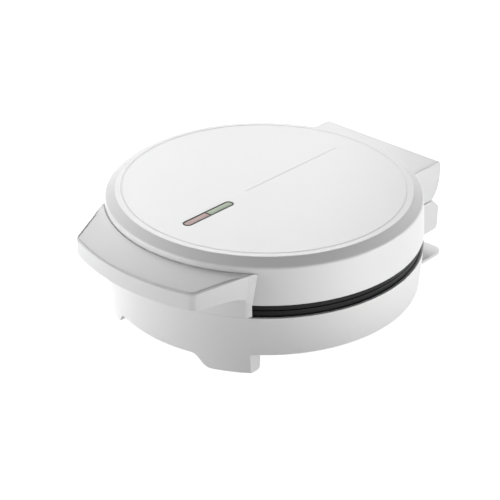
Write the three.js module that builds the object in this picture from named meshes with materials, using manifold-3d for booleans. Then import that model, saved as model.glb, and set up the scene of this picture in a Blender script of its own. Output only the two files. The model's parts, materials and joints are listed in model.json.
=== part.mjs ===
// A round electric wafer maker with a hinged lid, closed, in millimetres.
// The table top is z = 0, the hinge is at the back (+Y) and the handle at the front (-Y).
import * as THREE from "three";
import { mergeVertices } from "three/addons/utils/BufferGeometryUtils.js";
import Module from "manifold-3d";

const wasm = await Module();
wasm.setup();

// Round casings
const wall = 2.2; // thickness of the moulded casings
const footHeight = 14.4; // underside of the base above the table
const baseTopRadius = 105.2; // the widest place of the round casings
const baseTaper = 1.7; // how much narrower the base is at its bottom
const baseWallHeight = 27.4;
const baseEdgeRound = 1;
const halvesGap = 8.6; // from the base's rim to the lid's rim
const lidInset = 0.3; // how much narrower the lid's rim is than the base's
const lidTaper = 1.9;
const shoulderWidth = 6.5;
const lidWallHeight = 24.7;
const shoulderHeight = 4.3;

// Clearances
const fitGap = 0.3; // between pieces that are seated on each other
const runGap = 0.4; // round what turns
const overrun = 5; // how far a cut runs past what it cuts
const weld = 0.6; // how deep joined solids reach into each other

// Decor disc and its window
const ringWidth = 3.8; // the flat ring between the shoulder and the groove
const discThickness = 1.5;
const discGroove = 0.8; // the ring groove round the disc
const lineX = -1.3;
const lineStart = 16.4; // from the window's back end
const lineMargin = 18.9; // from the line's back end to the disc's edge
const lineWidth = 0.8;
const lineDepth = 0.4;
const windowX = 2.8;
const windowMargin = 16.3; // from the window's front end to the disc's edge
const windowLength = 42.2;
const redLength = 20.6;
const windowHalf = 3; // half the width over the dark frame
const frameWidth = 0.5;
const frameProud = 0.2;
const lensGap = 0.2;

// Lamp holder under the window
const holderHalf = 5.2;
const holderDepth = 11;
const holderWall = 1.6;
const holderPast = 2.4; // how far the holder reaches past the window's ends
const lampRadius = 2.4;
const lampStraight = 7.5;

// Cooking plates
const plateInset = 2; // how far the plates' rims lie inside the casings
const plateEdgeRound = 0.6;
const partingGap = 0.3; // between the two closed plates
const cookMargin = 16.2; // the flat rim round the wafer field
const cookDepth = 0.8;
const cookDraft = 0.6;
const plateWeb = 3.4;
const plateCollar = 3.5;
const plateCollarDepth = 4.1; // how deep the collar reaches inside the casing
const collarGap = 0.7;
const waferPitch = 15;
const waferBar = 2.8; // the raised bar between two pockets
const waferDepth = 0.9;
const plateScrewInset = 15.2;
const plateScrewCount = 3;
const bossRadius = 4.4;
const postRadius = 4.6;
const towerRadius = 5.8;
const towerHeight = 6;
const towerWeb = 2.2;

// Heating elements and their shields
const heaterInset = 43.2; // from the plate's rim
const heaterTube = 3.2;
const heaterTailX = 9;
const heaterTail = 20; // how far the tails reach past the ring
const heaterOpening = 25; // half the angle that the ring leaves open at the back, in degrees
const heaterPin = 1.4;
const heaterPinLength = 9;
const shieldSheet = 0.8;
const shieldRoom = 9; // from the element's ring to where the pan's side rises
const shieldSlope = 5;
const shieldLip = 8;
const shieldBore = 1.9;
const shieldNotch = 30; // width of the notch that the element's tails leave by
const shieldNotchDepth = 16;

// Screws
const screwHead = 3.2;
const screwHeadHeight = 2;
const screwShank = 1.5;
const screwBore = 1.8;
const screwLength = 12;
const longScrewLength = 18;
const headGap = 0.5;

// Handle
const handleReach = 20.2; // how far the middle of its front edge stands out from the apron
const handleCornerX = 51.1;
const handleBow = 9.8; // how far the middle of the front edge lies ahead of its corners
const handleRootHalf = 67.4;
const handleCornerRound = 3;
const handleDrop = 7.2; // from the lid's top to the handle's top where it leaves the lid
const handleTopFall = 5.2;
const handleRootDepth = 15;
const handleBottomFall = 1.3;
const handleWall = 2.4;
const handlePostRadius = 3.3;
const handleScrewAngle = 15; // degrees to each side of the middle
const handleScrewDrop = 15.5; // below the lid's top
const handlePostLength = 11;
const coverThickness = 3.4;
const coverWeb = 1.2; // what a screw's counterbore leaves of the cover
const coverScrewX = 33;
const coverScrewInset = 10.8; // from the front edge
const apronThickness = 2.1;
const apronGap = 1; // between the apron's lower edge and the base's rim

// Hinge blocks at the back
const hingeHalf = 50;
const hingeWall = 2.4;
const hingeBlockReach = 21.2; // how far the blocks are drawn in under the round walls, before they are cut
const hingeReach = 14.6; // from the widest place of the casings back to the hinge's axis
const hingeRise = 0.7; // from the base's rim up to the axis
const lidBlockDrop = 10.3; // from the lid's top down to the block's top
const lidBlockDepth = 6.3; // how far the lid's block reaches behind the axis
const lidBlockRound = 4.2;
const lidBlockUnder = 1.5; // how far the lid's block reaches below the axis
const blocksGap = 0.8;
const baseBlockDepth = 7.4;
const baseBlockRise = 1.2; // from the base's underside up to the block's
const baseBlockRound = 3;
const baseBlockCrestPast = 0.1; // how far behind the axis the flat top of the base's block ends
const baseBlockSlope = 9; // from the axis down to where the back turns upright
const knuckleRadius = 3.2;
const pinRadius = 1.5;
const knuckleStart = 12;
const knuckleLength = 10.6;
const pinInset = 0.6;
const hingeScrewX = 34;
const lidHingeScrewRise = 8.1; // above the lid's rim
const baseHingeScrewRise = 10.3; // above the base's floor
const hingeBossRadius = 4.2;
const hingeBossReach = 16;

// Rear foot that the cord is wound round
const flangeHalf = 58;
const flangePast = 5.2; // how far the flange reaches behind the hinge's axis
const flangeDepth = 40;
const flangeRound = 7;
const flangeTop = 3;
const neckHalf = 38;
const neckInset = 11; // from the flange's back edge
const neckDepth = 26;
const neckWall = 2.4;
const footScrewX = 20;
const footScrewInset = 6.2; // from the neck's front
const rearPadX = 44;
const rearPadInset = 9; // from the flange's back edge
const inletX = 24;
const inletInset = 8.2; // from the back of the base's block
const inletBore = 3;
const inletBody = 3.7;
const inletFlange = 4.6;
const inletLip = 4.3;
const inletFlangeHeight = 1.1;
const inletLipHeight = 1.4;

// Front feet and the skirt between them
const padProud = 0.4;
const footOuterX = 63.5;
const footInnerX = 42;
const skirtEndX = 29.5;
const skirtBottom = 9.5;
const footDepth = 7.2;
const footRound = 4;
const padRadius = 3.6;
const padThickness = 1.5;
const padBossRadius = 6.3;
const frontPadX = 52;
const frontPadInset = 23.5; // straight back from the base's front

// Parts on the floor of the base
const ventCount = 5;
const ventLength = 26;
const ventWidth = 3;
const ventPitch = 9;
const ventY = 30;
const thermostatXShare = 1 / 2; // of the element's radius
const thermostatYShare = -0.3;
const thermostatCap = 8;
const thermostatCapHeight = 6;
const thermostatBody = 6.6;
const thermostatBodyHeight = 7;
const bladeWidth = 4;
const bladeSheet = 0.8;
const bladeLength = 7;
const bladeX = 3.4;
const fuseXShare = -1 / 2; // of the element's radius
const fuseYShare = 0.37;
const fuseRadius = 2.2;
const fuseLength = 12;
const fuseLead = 0.6;
const fuseLeadLength = 9;
const blockX = -30;
const blockInset = 28.5; // from the base's back
const blockCell = 9;
const blockCells = 3;
const blockDepth = 14;
const blockHeight = 11;
const blockSlot = 1.6;
const blockSlotDepth = 3;
const terminalBore = 2;

// The sleeved lead that crosses the hinge on its axis
const leadRadius = 2;
const leadEnd = 0.2; // from the middle to each half's end

// How finely round shapes are cut
const roundSides = 64;
const plateSides = 48;
const middleSides = 32;
const smallSides = 12;
const tubeSides = 8;
const heaterSteps = 34;
const leadSteps = 22;
const cornerSteps = 4;

// Radii and places that follow from the sizes above
const baseBottomRadius = baseTopRadius - baseTaper;
const lidBottomRadius = baseTopRadius - lidInset;
const lidShoulderRadius = lidBottomRadius - lidTaper;
const lidTopRadius = lidShoulderRadius - shoulderWidth;
const recessRadius = lidTopRadius - ringWidth;
const discRadius = recessRadius - discGroove;
const windowFront = windowMargin - discRadius;
const windowBack = windowFront + windowLength;
const windowDivide = windowFront + redLength;
const lineFront = windowBack + lineStart;
const lineBack = discRadius - lineMargin;
const plateRadius = baseTopRadius - plateInset;
const cookRadius = plateRadius - cookMargin;
const plateScrewCircle = plateRadius - plateScrewInset;
const heaterRadius = plateRadius - heaterInset;
const heaterTailY = heaterRadius + heaterTail;
const shieldFloorRadius = heaterRadius + shieldRoom;
const shieldRimRadius = shieldFloorRadius + shieldSlope;
const shieldOuterRadius = shieldRimRadius + shieldLip;
const thermostatX = heaterRadius * thermostatXShare;
const thermostatY = heaterRadius * thermostatYShare;
const fuseX = heaterRadius * fuseXShare;
const fuseY = heaterRadius * fuseYShare;
const apronRadius = lidBottomRadius + apronThickness;
const handleRootY = Math.sqrt(lidShoulderRadius ** 2 - handleRootHalf ** 2);
const handleFront = apronRadius + handleReach;
const handleCornerY = handleFront - handleBow;
const coverScrewY = handleFront - coverScrewInset;
const hingeBlockFront = baseTopRadius - hingeBlockReach;
const hingeY = baseTopRadius + hingeReach;
const lidBlockBack = hingeY + lidBlockDepth;
const baseBlockBack = hingeY + baseBlockDepth;
const baseBlockCrest = hingeY + baseBlockCrestPast;
const flangeBack = hingeY + flangePast;
const flangeFront = flangeBack - flangeDepth;
const neckBack = flangeBack - neckInset;
const neckFront = neckBack - neckDepth;
const footScrewY = neckFront + footScrewInset;
const rearPadY = flangeBack - rearPadInset;
const inletY = baseBlockBack - inletInset;
const frontPadY = baseBottomRadius - frontPadInset;
const blockY = baseBottomRadius - blockInset;

// Heights that follow from the sizes above
const baseFloor = footHeight + wall;
const baseRim = footHeight + baseWallHeight;
const lidRim = baseRim + halvesGap;
const lidShoulder = lidRim + lidWallHeight;
const lidTop = lidShoulder + shoulderHeight;
const recessFloor = lidTop - discThickness - fitGap;
const lidCeiling = recessFloor - wall;
const parting = (baseRim + lidRim) / 2;
const lowerLand = parting - partingGap / 2;
const upperLand = parting + partingGap / 2;
const plateFlange = (halvesGap - partingGap) / 2 - fitGap;
const collarRadius = lidBottomRadius - wall - collarGap;
const webUnderside = -cookDepth - plateWeb;
const heaterLevel = webUnderside - fitGap - heaterTube;
const shieldTop = webUnderside - fitGap;
const shieldFloor = heaterLevel - heaterTube - fitGap;
const shieldUnderside = shieldFloor - shieldSheet;
const footCeiling = footHeight - fitGap;
const apronBottom = baseRim + apronGap;
const handleRootTop = lidTop - handleDrop;
const handleFrontTop = handleRootTop - handleTopFall;
const handleRootBottom = handleRootTop - handleRootDepth;
const handleFrontBottom = handleRootBottom - handleBottomFall;
const handleScrewZ = lidTop - handleScrewDrop;
const hingeZ = baseRim + hingeRise;
const lidBlockTop = lidTop - lidBlockDrop;
const lidBlockBottom = hingeZ - lidBlockUnder;
const baseBlockTop = lidBlockBottom - blocksGap;
const baseBlockBottom = footHeight + baseBlockRise;
const baseBlockSlopeEnd = hingeZ - baseBlockSlope;
const lidHingeScrewZ = lidRim + lidHingeScrewRise;
const baseHingeScrewZ = baseFloor + baseHingeScrewRise;

// The outside of each conical wall at a height
const baseRadiusAt = (z) =>
  baseBottomRadius + ((baseTopRadius - baseBottomRadius) * (z - footHeight)) / baseWallHeight;
const lidRadiusAt = (z) =>
  lidBottomRadius + ((lidShoulderRadius - lidBottomRadius) * (z - lidRim)) / lidWallHeight;

// A closed three.js geometry as a solid that can be joined and cut
function solid(geometry) {
  const bare = geometry.index ? geometry.toNonIndexed() : geometry.clone();
  for (const name of Object.keys(bare.attributes)) {
    if (name !== "position") bare.deleteAttribute(name);
  }
  const merged = mergeVertices(bare);
  const index = merged.index.array;
  const kept = [];
  for (let i = 0; i < index.length; i += 3) {
    const [a, b, c] = [index[i], index[i + 1], index[i + 2]];
    if (a !== b && b !== c && c !== a) kept.push(a, b, c);
  }
  const vertProperties = merged.attributes.position.array;
  const make = (triangles) =>
    new wasm.Manifold(
      new wasm.Mesh({ numProp: 3, vertProperties, triVerts: new Uint32Array(triangles) }),
    );
  const made = make(kept);
  return made.volume() < 0 ? make(kept.reverse()) : made;
}

// A solid back as a geometry with flat faces
function geometryOf(body) {
  const mesh = body.getMesh();
  const geometry = new THREE.BufferGeometry();
  geometry.setAttribute("position", new THREE.BufferAttribute(mesh.vertProperties, 3));
  geometry.setIndex(new THREE.BufferAttribute(mesh.triVerts, 1));
  const flat = geometry.toNonIndexed();
  flat.computeVertexNormals();
  return flat;
}

const join = (...bodies) => bodies.reduce((a, b) => a.add(b));
const cut = (body, ...tools) => tools.reduce((a, b) => a.subtract(b), body);

// A profile of [radius, height] points turned round the Z axis
function turned(profile, sides = roundSides) {
  const points = profile.map(([r, z]) => new THREE.Vector2(r, z));
  return solid(new THREE.LatheGeometry(points, sides).rotateX(Math.PI / 2));
}

// A closed profile that doesn't touch the axis, turned into a ring
const ring = (profile, sides = roundSides) => turned([...profile, profile[0]], sides);

// A box between two corners
function box([x0, y0, z0], [x1, y1, z1]) {
  const made = new THREE.BoxGeometry(x1 - x0, y1 - y0, z1 - z0);
  return solid(made.translate((x0 + x1) / 2, (y0 + y1) / 2, (z0 + z1) / 2));
}

// An outline in X and Y, raised from z0 to z1
function raised(shape, z0, z1, curveSegments = cornerSteps) {
  const made = new THREE.ExtrudeGeometry(shape, { depth: z1 - z0, bevelEnabled: false, curveSegments });
  return solid(made.translate(0, 0, z0));
}

// An outline in Y and Z, carried along X from x0 to x1
function alongX(shape, x0, x1, curveSegments = cornerSteps) {
  const made = new THREE.ExtrudeGeometry(shape, { depth: x1 - x0, bevelEnabled: false, curveSegments });
  const axes = new THREE.Matrix4().makeBasis(
    new THREE.Vector3(0, 1, 0),
    new THREE.Vector3(0, 0, 1),
    new THREE.Vector3(1, 0, 0),
  );
  return solid(made.applyMatrix4(axes).translate(x0, 0, 0));
}

// An outline in X and Z, carried along Y from y0 to y1
function alongY(shape, y0, y1, curveSegments = cornerSteps) {
  const made = new THREE.ExtrudeGeometry(shape, { depth: y1 - y0, bevelEnabled: false, curveSegments });
  return solid(made.rotateX(Math.PI / 2).translate(0, y1, 0));
}

// A rod from one point to another
function rod(from, to, radius, sides = smallSides) {
  const [a, b] = [new THREE.Vector3(...from), new THREE.Vector3(...to)];
  const along = b.clone().sub(a);
  const made = new THREE.CylinderGeometry(radius, radius, along.length(), sides);
  const turn = new THREE.Quaternion().setFromUnitVectors(new THREE.Vector3(0, 1, 0), along.normalize());
  return solid(made.applyQuaternion(turn).translate(...a.add(b).multiplyScalar(1 / 2).toArray()));
}

// A round tube along a smooth curve through points
function tube(points, radius, steps) {
  const path = new THREE.CatmullRomCurve3(points.map((p) => new THREE.Vector3(...p)));
  const corners = Array.from({ length: tubeSides }, (_, i) => {
    const angle = (2 * Math.PI * i) / tubeSides;
    return new THREE.Vector2(radius * Math.cos(angle), radius * Math.sin(angle));
  });
  const section = new THREE.Shape(corners);
  return solid(new THREE.ExtrudeGeometry(section, { steps, extrudePath: path, bevelEnabled: false }));
}

// A long outline with round ends, from y0 to y1, centred on x
function roundEnded(x, y0, y1, half) {
  const shape = new THREE.Shape();
  shape.moveTo(x + half, y0 + half);
  shape.lineTo(x + half, y1 - half);
  shape.absarc(x, y1 - half, half, 0, Math.PI, false);
  shape.lineTo(x - half, y0 + half);
  shape.absarc(x, y0 + half, half, Math.PI, 2 * Math.PI, false);
  return shape;
}

const radians = THREE.MathUtils.degToRad;
const sides = [
  ["left", -1],
  ["right", 1],
];

// Materials
const finish = (color, roughness, metalness = 0) =>
  new THREE.MeshStandardMaterial({ color, roughness, metalness });
const whitePlastic = finish(0xf2f2f2, 0.35);
const discPlastic = finish(0xf4f4f4, 0.3);
const coatedCasting = finish(0x17181a, 0.4, 0.2);
const elementSheath = finish(0x6a6a68, 0.45, 0.9);
const shieldMetal = finish(0xc4c6c8, 0.35, 0.95);
const zincSteel = finish(0xb9bcbf, 0.35, 0.95);
const softPad = finish(0xd9d9d6, 0.8);
const darkFrame = finish(0x2c2c2c, 0.4);
const redLens = finish(0xe9a6a0, 0.2);
const greenLens = finish(0xb9d3b0, 0.2);
const lampGlass = finish(0xe8e0d4, 0.1);
const ceramic = finish(0xe6dfd0, 0.6);
const sleeve = finish(0xd8cfa8, 0.7);

// The two bodies: the lid group turns on its pivot
const waferMaker = new THREE.Group();
const base = new THREE.Group();
const lidPivot = new THREE.Group();
const lid = new THREE.Group();
lidPivot.position.set(0, hingeY, hingeZ);
lid.position.set(0, -hingeY, -hingeZ);
lidPivot.add(lid);
waferMaker.add(base, lidPivot);

function place(group, name, body, material, position = [0, 0, 0]) {
  const mesh = new THREE.Mesh(geometryOf(body), material.clone());
  mesh.name = name;
  mesh.position.set(...position);
  group.add(mesh);
  return mesh;
}

// A pan-head screw: head above the origin, shank down to minus its length
function screwSolid(length) {
  const slot = screwHead * 0.3;
  const profile = [
    [0, screwHeadHeight],
    [screwHead * 0.7, screwHeadHeight],
    [screwHead, screwHeadHeight / 2],
    [screwHead, 0],
    [screwShank, 0],
    [screwShank, screwShank - length],
    [0, -length],
  ];
  const grooveLow = [-screwHead, -slot / 2, screwHeadHeight / 2];
  const groove = box(grooveLow, [screwHead, slot / 2, screwHeadHeight * 2]);
  return cut(turned(profile, tubeSides), groove);
}

// A screw whose shank points along a direction, with the underside of its head at a point
function placeScrew(group, name, position, direction, length = screwLength) {
  const mesh = place(group, name, screwSolid(length), zincSteel, position);
  const way = new THREE.Vector3(...direction).normalize();
  mesh.quaternion.setFromUnitVectors(new THREE.Vector3(0, 0, -1), way);
}

// Solids that stand in for the outside of a casing, with a gap, to cut what lies against it
const insideLid = turned([
  [0, apronBottom - overrun],
  [lidBottomRadius + fitGap, apronBottom - overrun],
  [lidBottomRadius + fitGap, lidRim],
  [lidShoulderRadius + fitGap, lidShoulder],
  [lidShoulderRadius + fitGap, lidTop],
  [0, lidTop],
]);
const insideBase = turned([
  [0, -overrun],
  [baseRadiusAt(-overrun) + fitGap, -overrun],
  [baseTopRadius + fitGap, baseRim],
  [baseTopRadius + fitGap, baseRim + overrun],
  [0, baseRim + overrun],
]);

// Where the plate screws stand, in X and Y
const plateScrewPlaces = Array.from({ length: plateScrewCount }, (_, i) => {
  const angle = -Math.PI / 2 + (2 * Math.PI * i) / plateScrewCount;
  return [plateScrewCircle * Math.cos(angle), plateScrewCircle * Math.sin(angle)];
});

// The lead's two halves meet on the hinge axis
const baseLeadPoints = [
  [blockX + blockCell, blockY + blockDepth / 2 + leadRadius, baseFloor + blockHeight / 2],
  [-hingeScrewX / 3, baseBottomRadius - hingeBossReach / 2, baseFloor + blockHeight * 0.8],
  [-leadRadius * 3, baseTopRadius, baseFloor + blockHeight],
  [-leadRadius * 3, hingeY - leadRadius * 3, baseBlockTop - leadRadius * 4.5],
  [-leadRadius * 2.8, hingeY, baseBlockTop - leadRadius],
  [-leadRadius * 2.1, hingeY, hingeZ - leadRadius * 0.45],
  [-leadRadius, hingeY, hingeZ],
  [-leadEnd, hingeY, hingeZ],
];
const lidLeadPoints = [
  [leadEnd, hingeY, hingeZ],
  [leadRadius, hingeY, hingeZ],
  [leadRadius * 2.1, hingeY - leadRadius * 0.35, hingeZ + leadRadius * 0.6],
  [leadRadius * 2.8, hingeY - leadRadius * 1.5, hingeZ + leadRadius * 2.2],
  [leadRadius * 3, hingeY - leadRadius * 4, hingeZ + leadRadius * 5],
  [leadRadius * 4, baseTopRadius, hingeZ + leadRadius * 7],
  [leadRadius * 6.5, heaterTailY + heaterPinLength, hingeZ + leadRadius * 7.5],
];
const baseLeadWay = tube(baseLeadPoints, leadRadius + runGap, leadSteps);
const lidLeadWay = tube(lidLeadPoints, leadRadius + runGap, leadSteps);

// Base shell: a cup with a floor, screw towers, front feet with a skirt between them, and vents
function baseShell() {
  const cup = turned([
    [0, footHeight],
    [baseBottomRadius - baseEdgeRound, footHeight],
    [baseRadiusAt(footHeight + baseEdgeRound), footHeight + baseEdgeRound],
    [baseTopRadius, baseRim],
    [baseTopRadius - wall, baseRim],
    [baseRadiusAt(baseFloor) - wall, baseFloor],
    [0, baseFloor],
  ]);
  const footInside = baseBottomRadius - footDepth;
  const thickRing = ring([
    [baseRadiusAt(padProud), padProud],
    [baseRadiusAt(footHeight + baseEdgeRound), footHeight + baseEdgeRound],
    [footInside, footHeight + baseEdgeRound],
    [footInside, padProud + footRound],
    [footInside + footRound * 0.3, padProud + footRound * 0.3],
    [footInside + footRound, padProud],
  ]);
  const thinRing = ring([
    [baseRadiusAt(skirtBottom), skirtBottom],
    [baseRadiusAt(footHeight + baseEdgeRound), footHeight + baseEdgeRound],
    [baseRadiusAt(footHeight) - wall, footHeight + baseEdgeRound],
    [baseRadiusAt(skirtBottom) - wall, skirtBottom],
  ]);
  let made = join(cup, skirt(thinRing), ...sides.map(([, side]) => frontFoot(thickRing, side)));
  for (const [x, y] of plateScrewPlaces) {
    made = made.add(rod([x, y, baseFloor - weld], [x, y, baseFloor + towerHeight], towerRadius));
  }
  for (const [, side] of sides) {
    const [x, y] = [side * footScrewX, footScrewY];
    made = made.add(rod([x, y, baseFloor - weld], [x, y, footHeight + screwLength], hingeBossRadius));
  }
  return cut(made, ...baseShellHoles());
}

// The strip of wall that hangs between the front feet
function skirt(thinRing) {
  const strip = box([-skirtEndX - weld, -baseTopRadius, 0], [skirtEndX + weld, 0, baseFloor]);
  return thinRing.intersect(strip);
}

// One front foot: flush with the wall, straight outside, curved inside, with a boss for its pad
function frontFoot(thickRing, side) {
  const shape = new THREE.Shape();
  const middle = (skirtEndX + footInnerX) / 2;
  shape.moveTo(side * footOuterX, padProud);
  shape.lineTo(side * footOuterX, baseFloor);
  shape.lineTo(side * skirtEndX, baseFloor);
  shape.lineTo(side * skirtEndX, skirtBottom);
  shape.bezierCurveTo(side * middle, skirtBottom, side * middle, padProud, side * footInnerX, padProud);
  const outline = alongY(shape, -baseTopRadius, 0, 2 * cornerSteps);
  const boss = rod(
    [side * frontPadX, -frontPadY, padProud],
    [side * frontPadX, -frontPadY, footHeight + weld],
    padBossRadius,
  );
  const recess = rod(
    [side * frontPadX, -frontPadY, padProud - overrun],
    [side * frontPadX, -frontPadY, padThickness + fitGap],
    padRadius + fitGap,
  );
  return cut(join(thickRing.intersect(outline), boss), recess);
}

// Everything that is cut through the base shell
function baseShellHoles() {
  const holes = [baseLeadWay];
  for (const [x, y] of plateScrewPlaces) {
    const webTop = baseFloor + towerHeight;
    holes.push(rod([x, y, -overrun], [x, y, webTop - towerWeb], screwHead + headGap));
    holes.push(rod([x, y, 0], [x, y, webTop + overrun], screwBore));
  }
  for (const [, side] of sides) {
    const x = side * footScrewX;
    holes.push(rod([x, footScrewY, 0], [x, footScrewY, footHeight + screwLength + overrun], screwBore));
    holes.push(hingeScrewBore(side, baseHingeScrewZ));
    for (let i = 0; i < ventCount; i += 1) {
      const ventX = (i - (ventCount - 1) / 2) * ventPitch;
      const [y0, y1] = [side * ventY - ventLength / 2, side * ventY + ventLength / 2];
      const slot = roundEnded(ventX, y0, y1, ventWidth / 2);
      holes.push(raised(slot, footHeight - overrun, baseFloor + weld));
    }
  }
  return holes;
}

// The bore of a screw that holds a hinge block to a casing
const hingeScrewBore = (side, z) =>
  rod([side * hingeScrewX, hingeBlockFront, z], [side * hingeScrewX, hingeY - weld, z], screwBore);

place(base, "base_shell", baseShell(), whitePlastic);

// Rear foot: a hollow neck on a flange, screwed up under the base
function cordWrapFoot() {
  const flange = new THREE.Shape();
  const [x, r] = [flangeHalf, flangeRound];
  flange.moveTo(-x + r, flangeFront);
  flange.lineTo(x - r, flangeFront);
  flange.absarc(x - r, flangeFront + r, r, -Math.PI / 2, 0, false);
  flange.absarc(x - r, flangeBack - r, r, 0, Math.PI / 2, false);
  flange.absarc(-x + r, flangeBack - r, r, Math.PI / 2, Math.PI, false);
  flange.absarc(-x + r, flangeFront + r, r, Math.PI, 1.5 * Math.PI, false);
  const neck = box([-neckHalf, neckFront, padProud], [neckHalf, neckBack, footCeiling]);
  const hollow = box(
    [-neckHalf + neckWall, neckFront + neckWall, -overrun],
    [neckHalf - neckWall, neckBack - neckWall, footCeiling - neckWall],
  );
  let made = cut(join(raised(flange, padProud, flangeTop), neck), hollow);
  for (const [, side] of sides) {
    const [sx, px] = [side * footScrewX, side * rearPadX];
    const recess = rod([px, rearPadY, -overrun], [px, rearPadY, padThickness + fitGap], padRadius + fitGap);
    made = cut(made, rod([sx, footScrewY, 0], [sx, footScrewY, footHeight], screwBore), recess);
  }
  return made;
}

place(base, "cord_wrap_foot", cordWrapFoot(), whitePlastic);

for (const [side, sign] of sides) {
  const pad = rod([0, 0, 0], [0, 0, padThickness], padRadius);
  place(base, `foot_pad_front_${side}`, pad, softPad, [sign * frontPadX, -frontPadY, 0]);
  place(base, `foot_pad_rear_${side}`, pad, softPad, [sign * rearPadX, rearPadY, 0]);
  const headFace = footCeiling - neckWall - fitGap;
  placeScrew(base, `wrap_foot_screw_${side}`, [sign * footScrewX, footScrewY, headFace], [0, 0, 1]);
}

// The stretches of the hinge, from the middle outwards: base, lid, base
const knuckles = Array.from({ length: 3 }, (_, i) => {
  const start = knuckleStart + i * (knuckleLength + runGap);
  return [start, start + knuckleLength];
});
const baseKnuckles = [knuckles[0], knuckles[2]];
const lidKnuckles = [knuckles[1]];

// A rod of the given radius on the hinge axis over each stretch, on both sides
function onHingeAxis(stretches, radius, past = 0) {
  const rods = sides.flatMap(([, side]) =>
    stretches.map(([start, end]) =>
      rod([side * (start - past), hingeY, hingeZ], [side * (end + past), hingeY, hingeZ], radius),
    ),
  );
  return join(...rods);
}

// The web that carries each knuckle, from its casing at one height to the axis
function knuckleWebs(stretches, z) {
  const webs = sides.flatMap(([, side]) =>
    stretches.map(([start, end]) => {
      const [x0, x1] = side < 0 ? [-end, -start] : [start, end];
      const [z0, z1] = z < hingeZ ? [z, hingeZ] : [hingeZ, z];
      return box([x0, hingeY - knuckleRadius, z0], [x1, hingeY + knuckleRadius / 2, z1]);
    }),
  );
  return join(...webs);
}

const pinBores = onHingeAxis([[knuckleStart - pinInset, knuckles[2][1] + pinInset]], pinRadius + fitGap);

// The opening in the middle of a block that the lead bends through on its way to the axis
const leadNotch = (radius) =>
  rod([-knuckleStart + runGap, hingeY, hingeZ], [knuckleStart - runGap, hingeY, hingeZ], radius + runGap);

// The side outline of the base's hinge block, in Y and Z, drawn in by an inset
function baseBlockOutline(inset) {
  const [back, bottom, top] = [baseBlockBack - inset, baseBlockBottom + inset, baseBlockTop - inset];
  const round = baseBlockRound;
  const shape = new THREE.Shape();
  shape.moveTo(hingeBlockFront, bottom);
  shape.lineTo(back - round, bottom);
  shape.quadraticCurveTo(back, bottom, back, bottom + round);
  const bend = baseBlockSlopeEnd - inset / 2;
  shape.lineTo(back, bend - round);
  shape.quadraticCurveTo(back, bend, back - round, bend + round);
  shape.lineTo(baseBlockCrest - inset / 2, top);
  shape.lineTo(hingeBlockFront, top);
  return shape;
}

// The side outline of the lid's hinge block: its lower back is curved so that the lid can open
function lidBlockOutline(inset) {
  const [back, bottom, top] = [lidBlockBack - inset, lidBlockBottom + inset, lidBlockTop - inset];
  const height = lidBlockTop - lidBlockBottom;
  const round = lidBlockRound;
  const shape = new THREE.Shape();
  shape.moveTo(hingeBlockFront, bottom);
  shape.lineTo(hingeY - knuckleRadius / 4 - inset / 2, bottom);
  shape.bezierCurveTo(
    hingeY + knuckleRadius * 0.75 - inset,
    bottom + height * 0.09,
    back - knuckleRadius * 0.1,
    bottom + height * 0.26,
    back,
    bottom + height * 0.56,
  );
  shape.lineTo(back, top - round);
  shape.quadraticCurveTo(back, top, back - round, top);
  shape.lineTo(hingeBlockFront, top);
  return shape;
}

// A hinge block is a hollow box that is open towards its casing, with two screw bosses inside
function hingeBlock(outline, inside, screwZ, backY) {
  const shell = cut(
    alongX(outline(0), -hingeHalf, hingeHalf),
    alongX(outline(hingeWall), -hingeHalf + hingeWall, hingeHalf - hingeWall),
  );
  const bosses = sides.map(([, side]) => {
    const x = side * hingeScrewX;
    return rod([x, hingeBlockFront, screwZ], [x, backY - hingeWall / 2, screwZ], hingeBossRadius);
  });
  const bores = sides.map(([, side]) => hingeScrewBore(side, screwZ));
  return cut(join(shell, ...bosses), inside, ...bores);
}

function baseHingeHousing() {
  const seat = box([-neckHalf, baseBottomRadius, footHeight], [neckHalf, neckBack, baseBlockBottom + weld]);
  const shell = hingeBlock(baseBlockOutline, insideBase, baseHingeScrewZ, baseBlockBack);
  const webs = knuckleWebs(baseKnuckles, baseBlockTop - hingeWall * 0.9);
  const made = join(
    cut(join(shell, cut(seat, insideBase)), onHingeAxis(lidKnuckles, knuckleRadius + runGap, runGap)),
    webs,
    onHingeAxis(baseKnuckles, knuckleRadius),
  );
  const inletHole = rod(
    [inletX, inletY, baseBlockBottom - overrun],
    [inletX, inletY, baseBlockBottom + hingeWall + weld],
    inletBody + fitGap,
  );
  return cut(made, pinBores, leadNotch(leadRadius), baseLeadWay, inletHole);
}

place(base, "base_hinge_housing", baseHingeHousing(), whitePlastic);

// Bush that lines the hole for the mains lead, in the underside of the base's block
const bushTop = hingeWall + fitGap;
const inletBush = ring(
  [
    [inletBore, -inletFlangeHeight],
    [inletFlange, -inletFlangeHeight],
    [inletFlange, 0],
    [inletBody, 0],
    [inletBody, bushTop + fitGap],
    [inletLip, bushTop + fitGap],
    [inletBody, bushTop + fitGap + inletLipHeight],
    [inletBore, bushTop + fitGap + inletLipHeight],
  ],
  2 * smallSides,
);
place(base, "cord_inlet_bush", inletBush, softPad, [inletX, inletY, baseBlockBottom - fitGap]);

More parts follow.
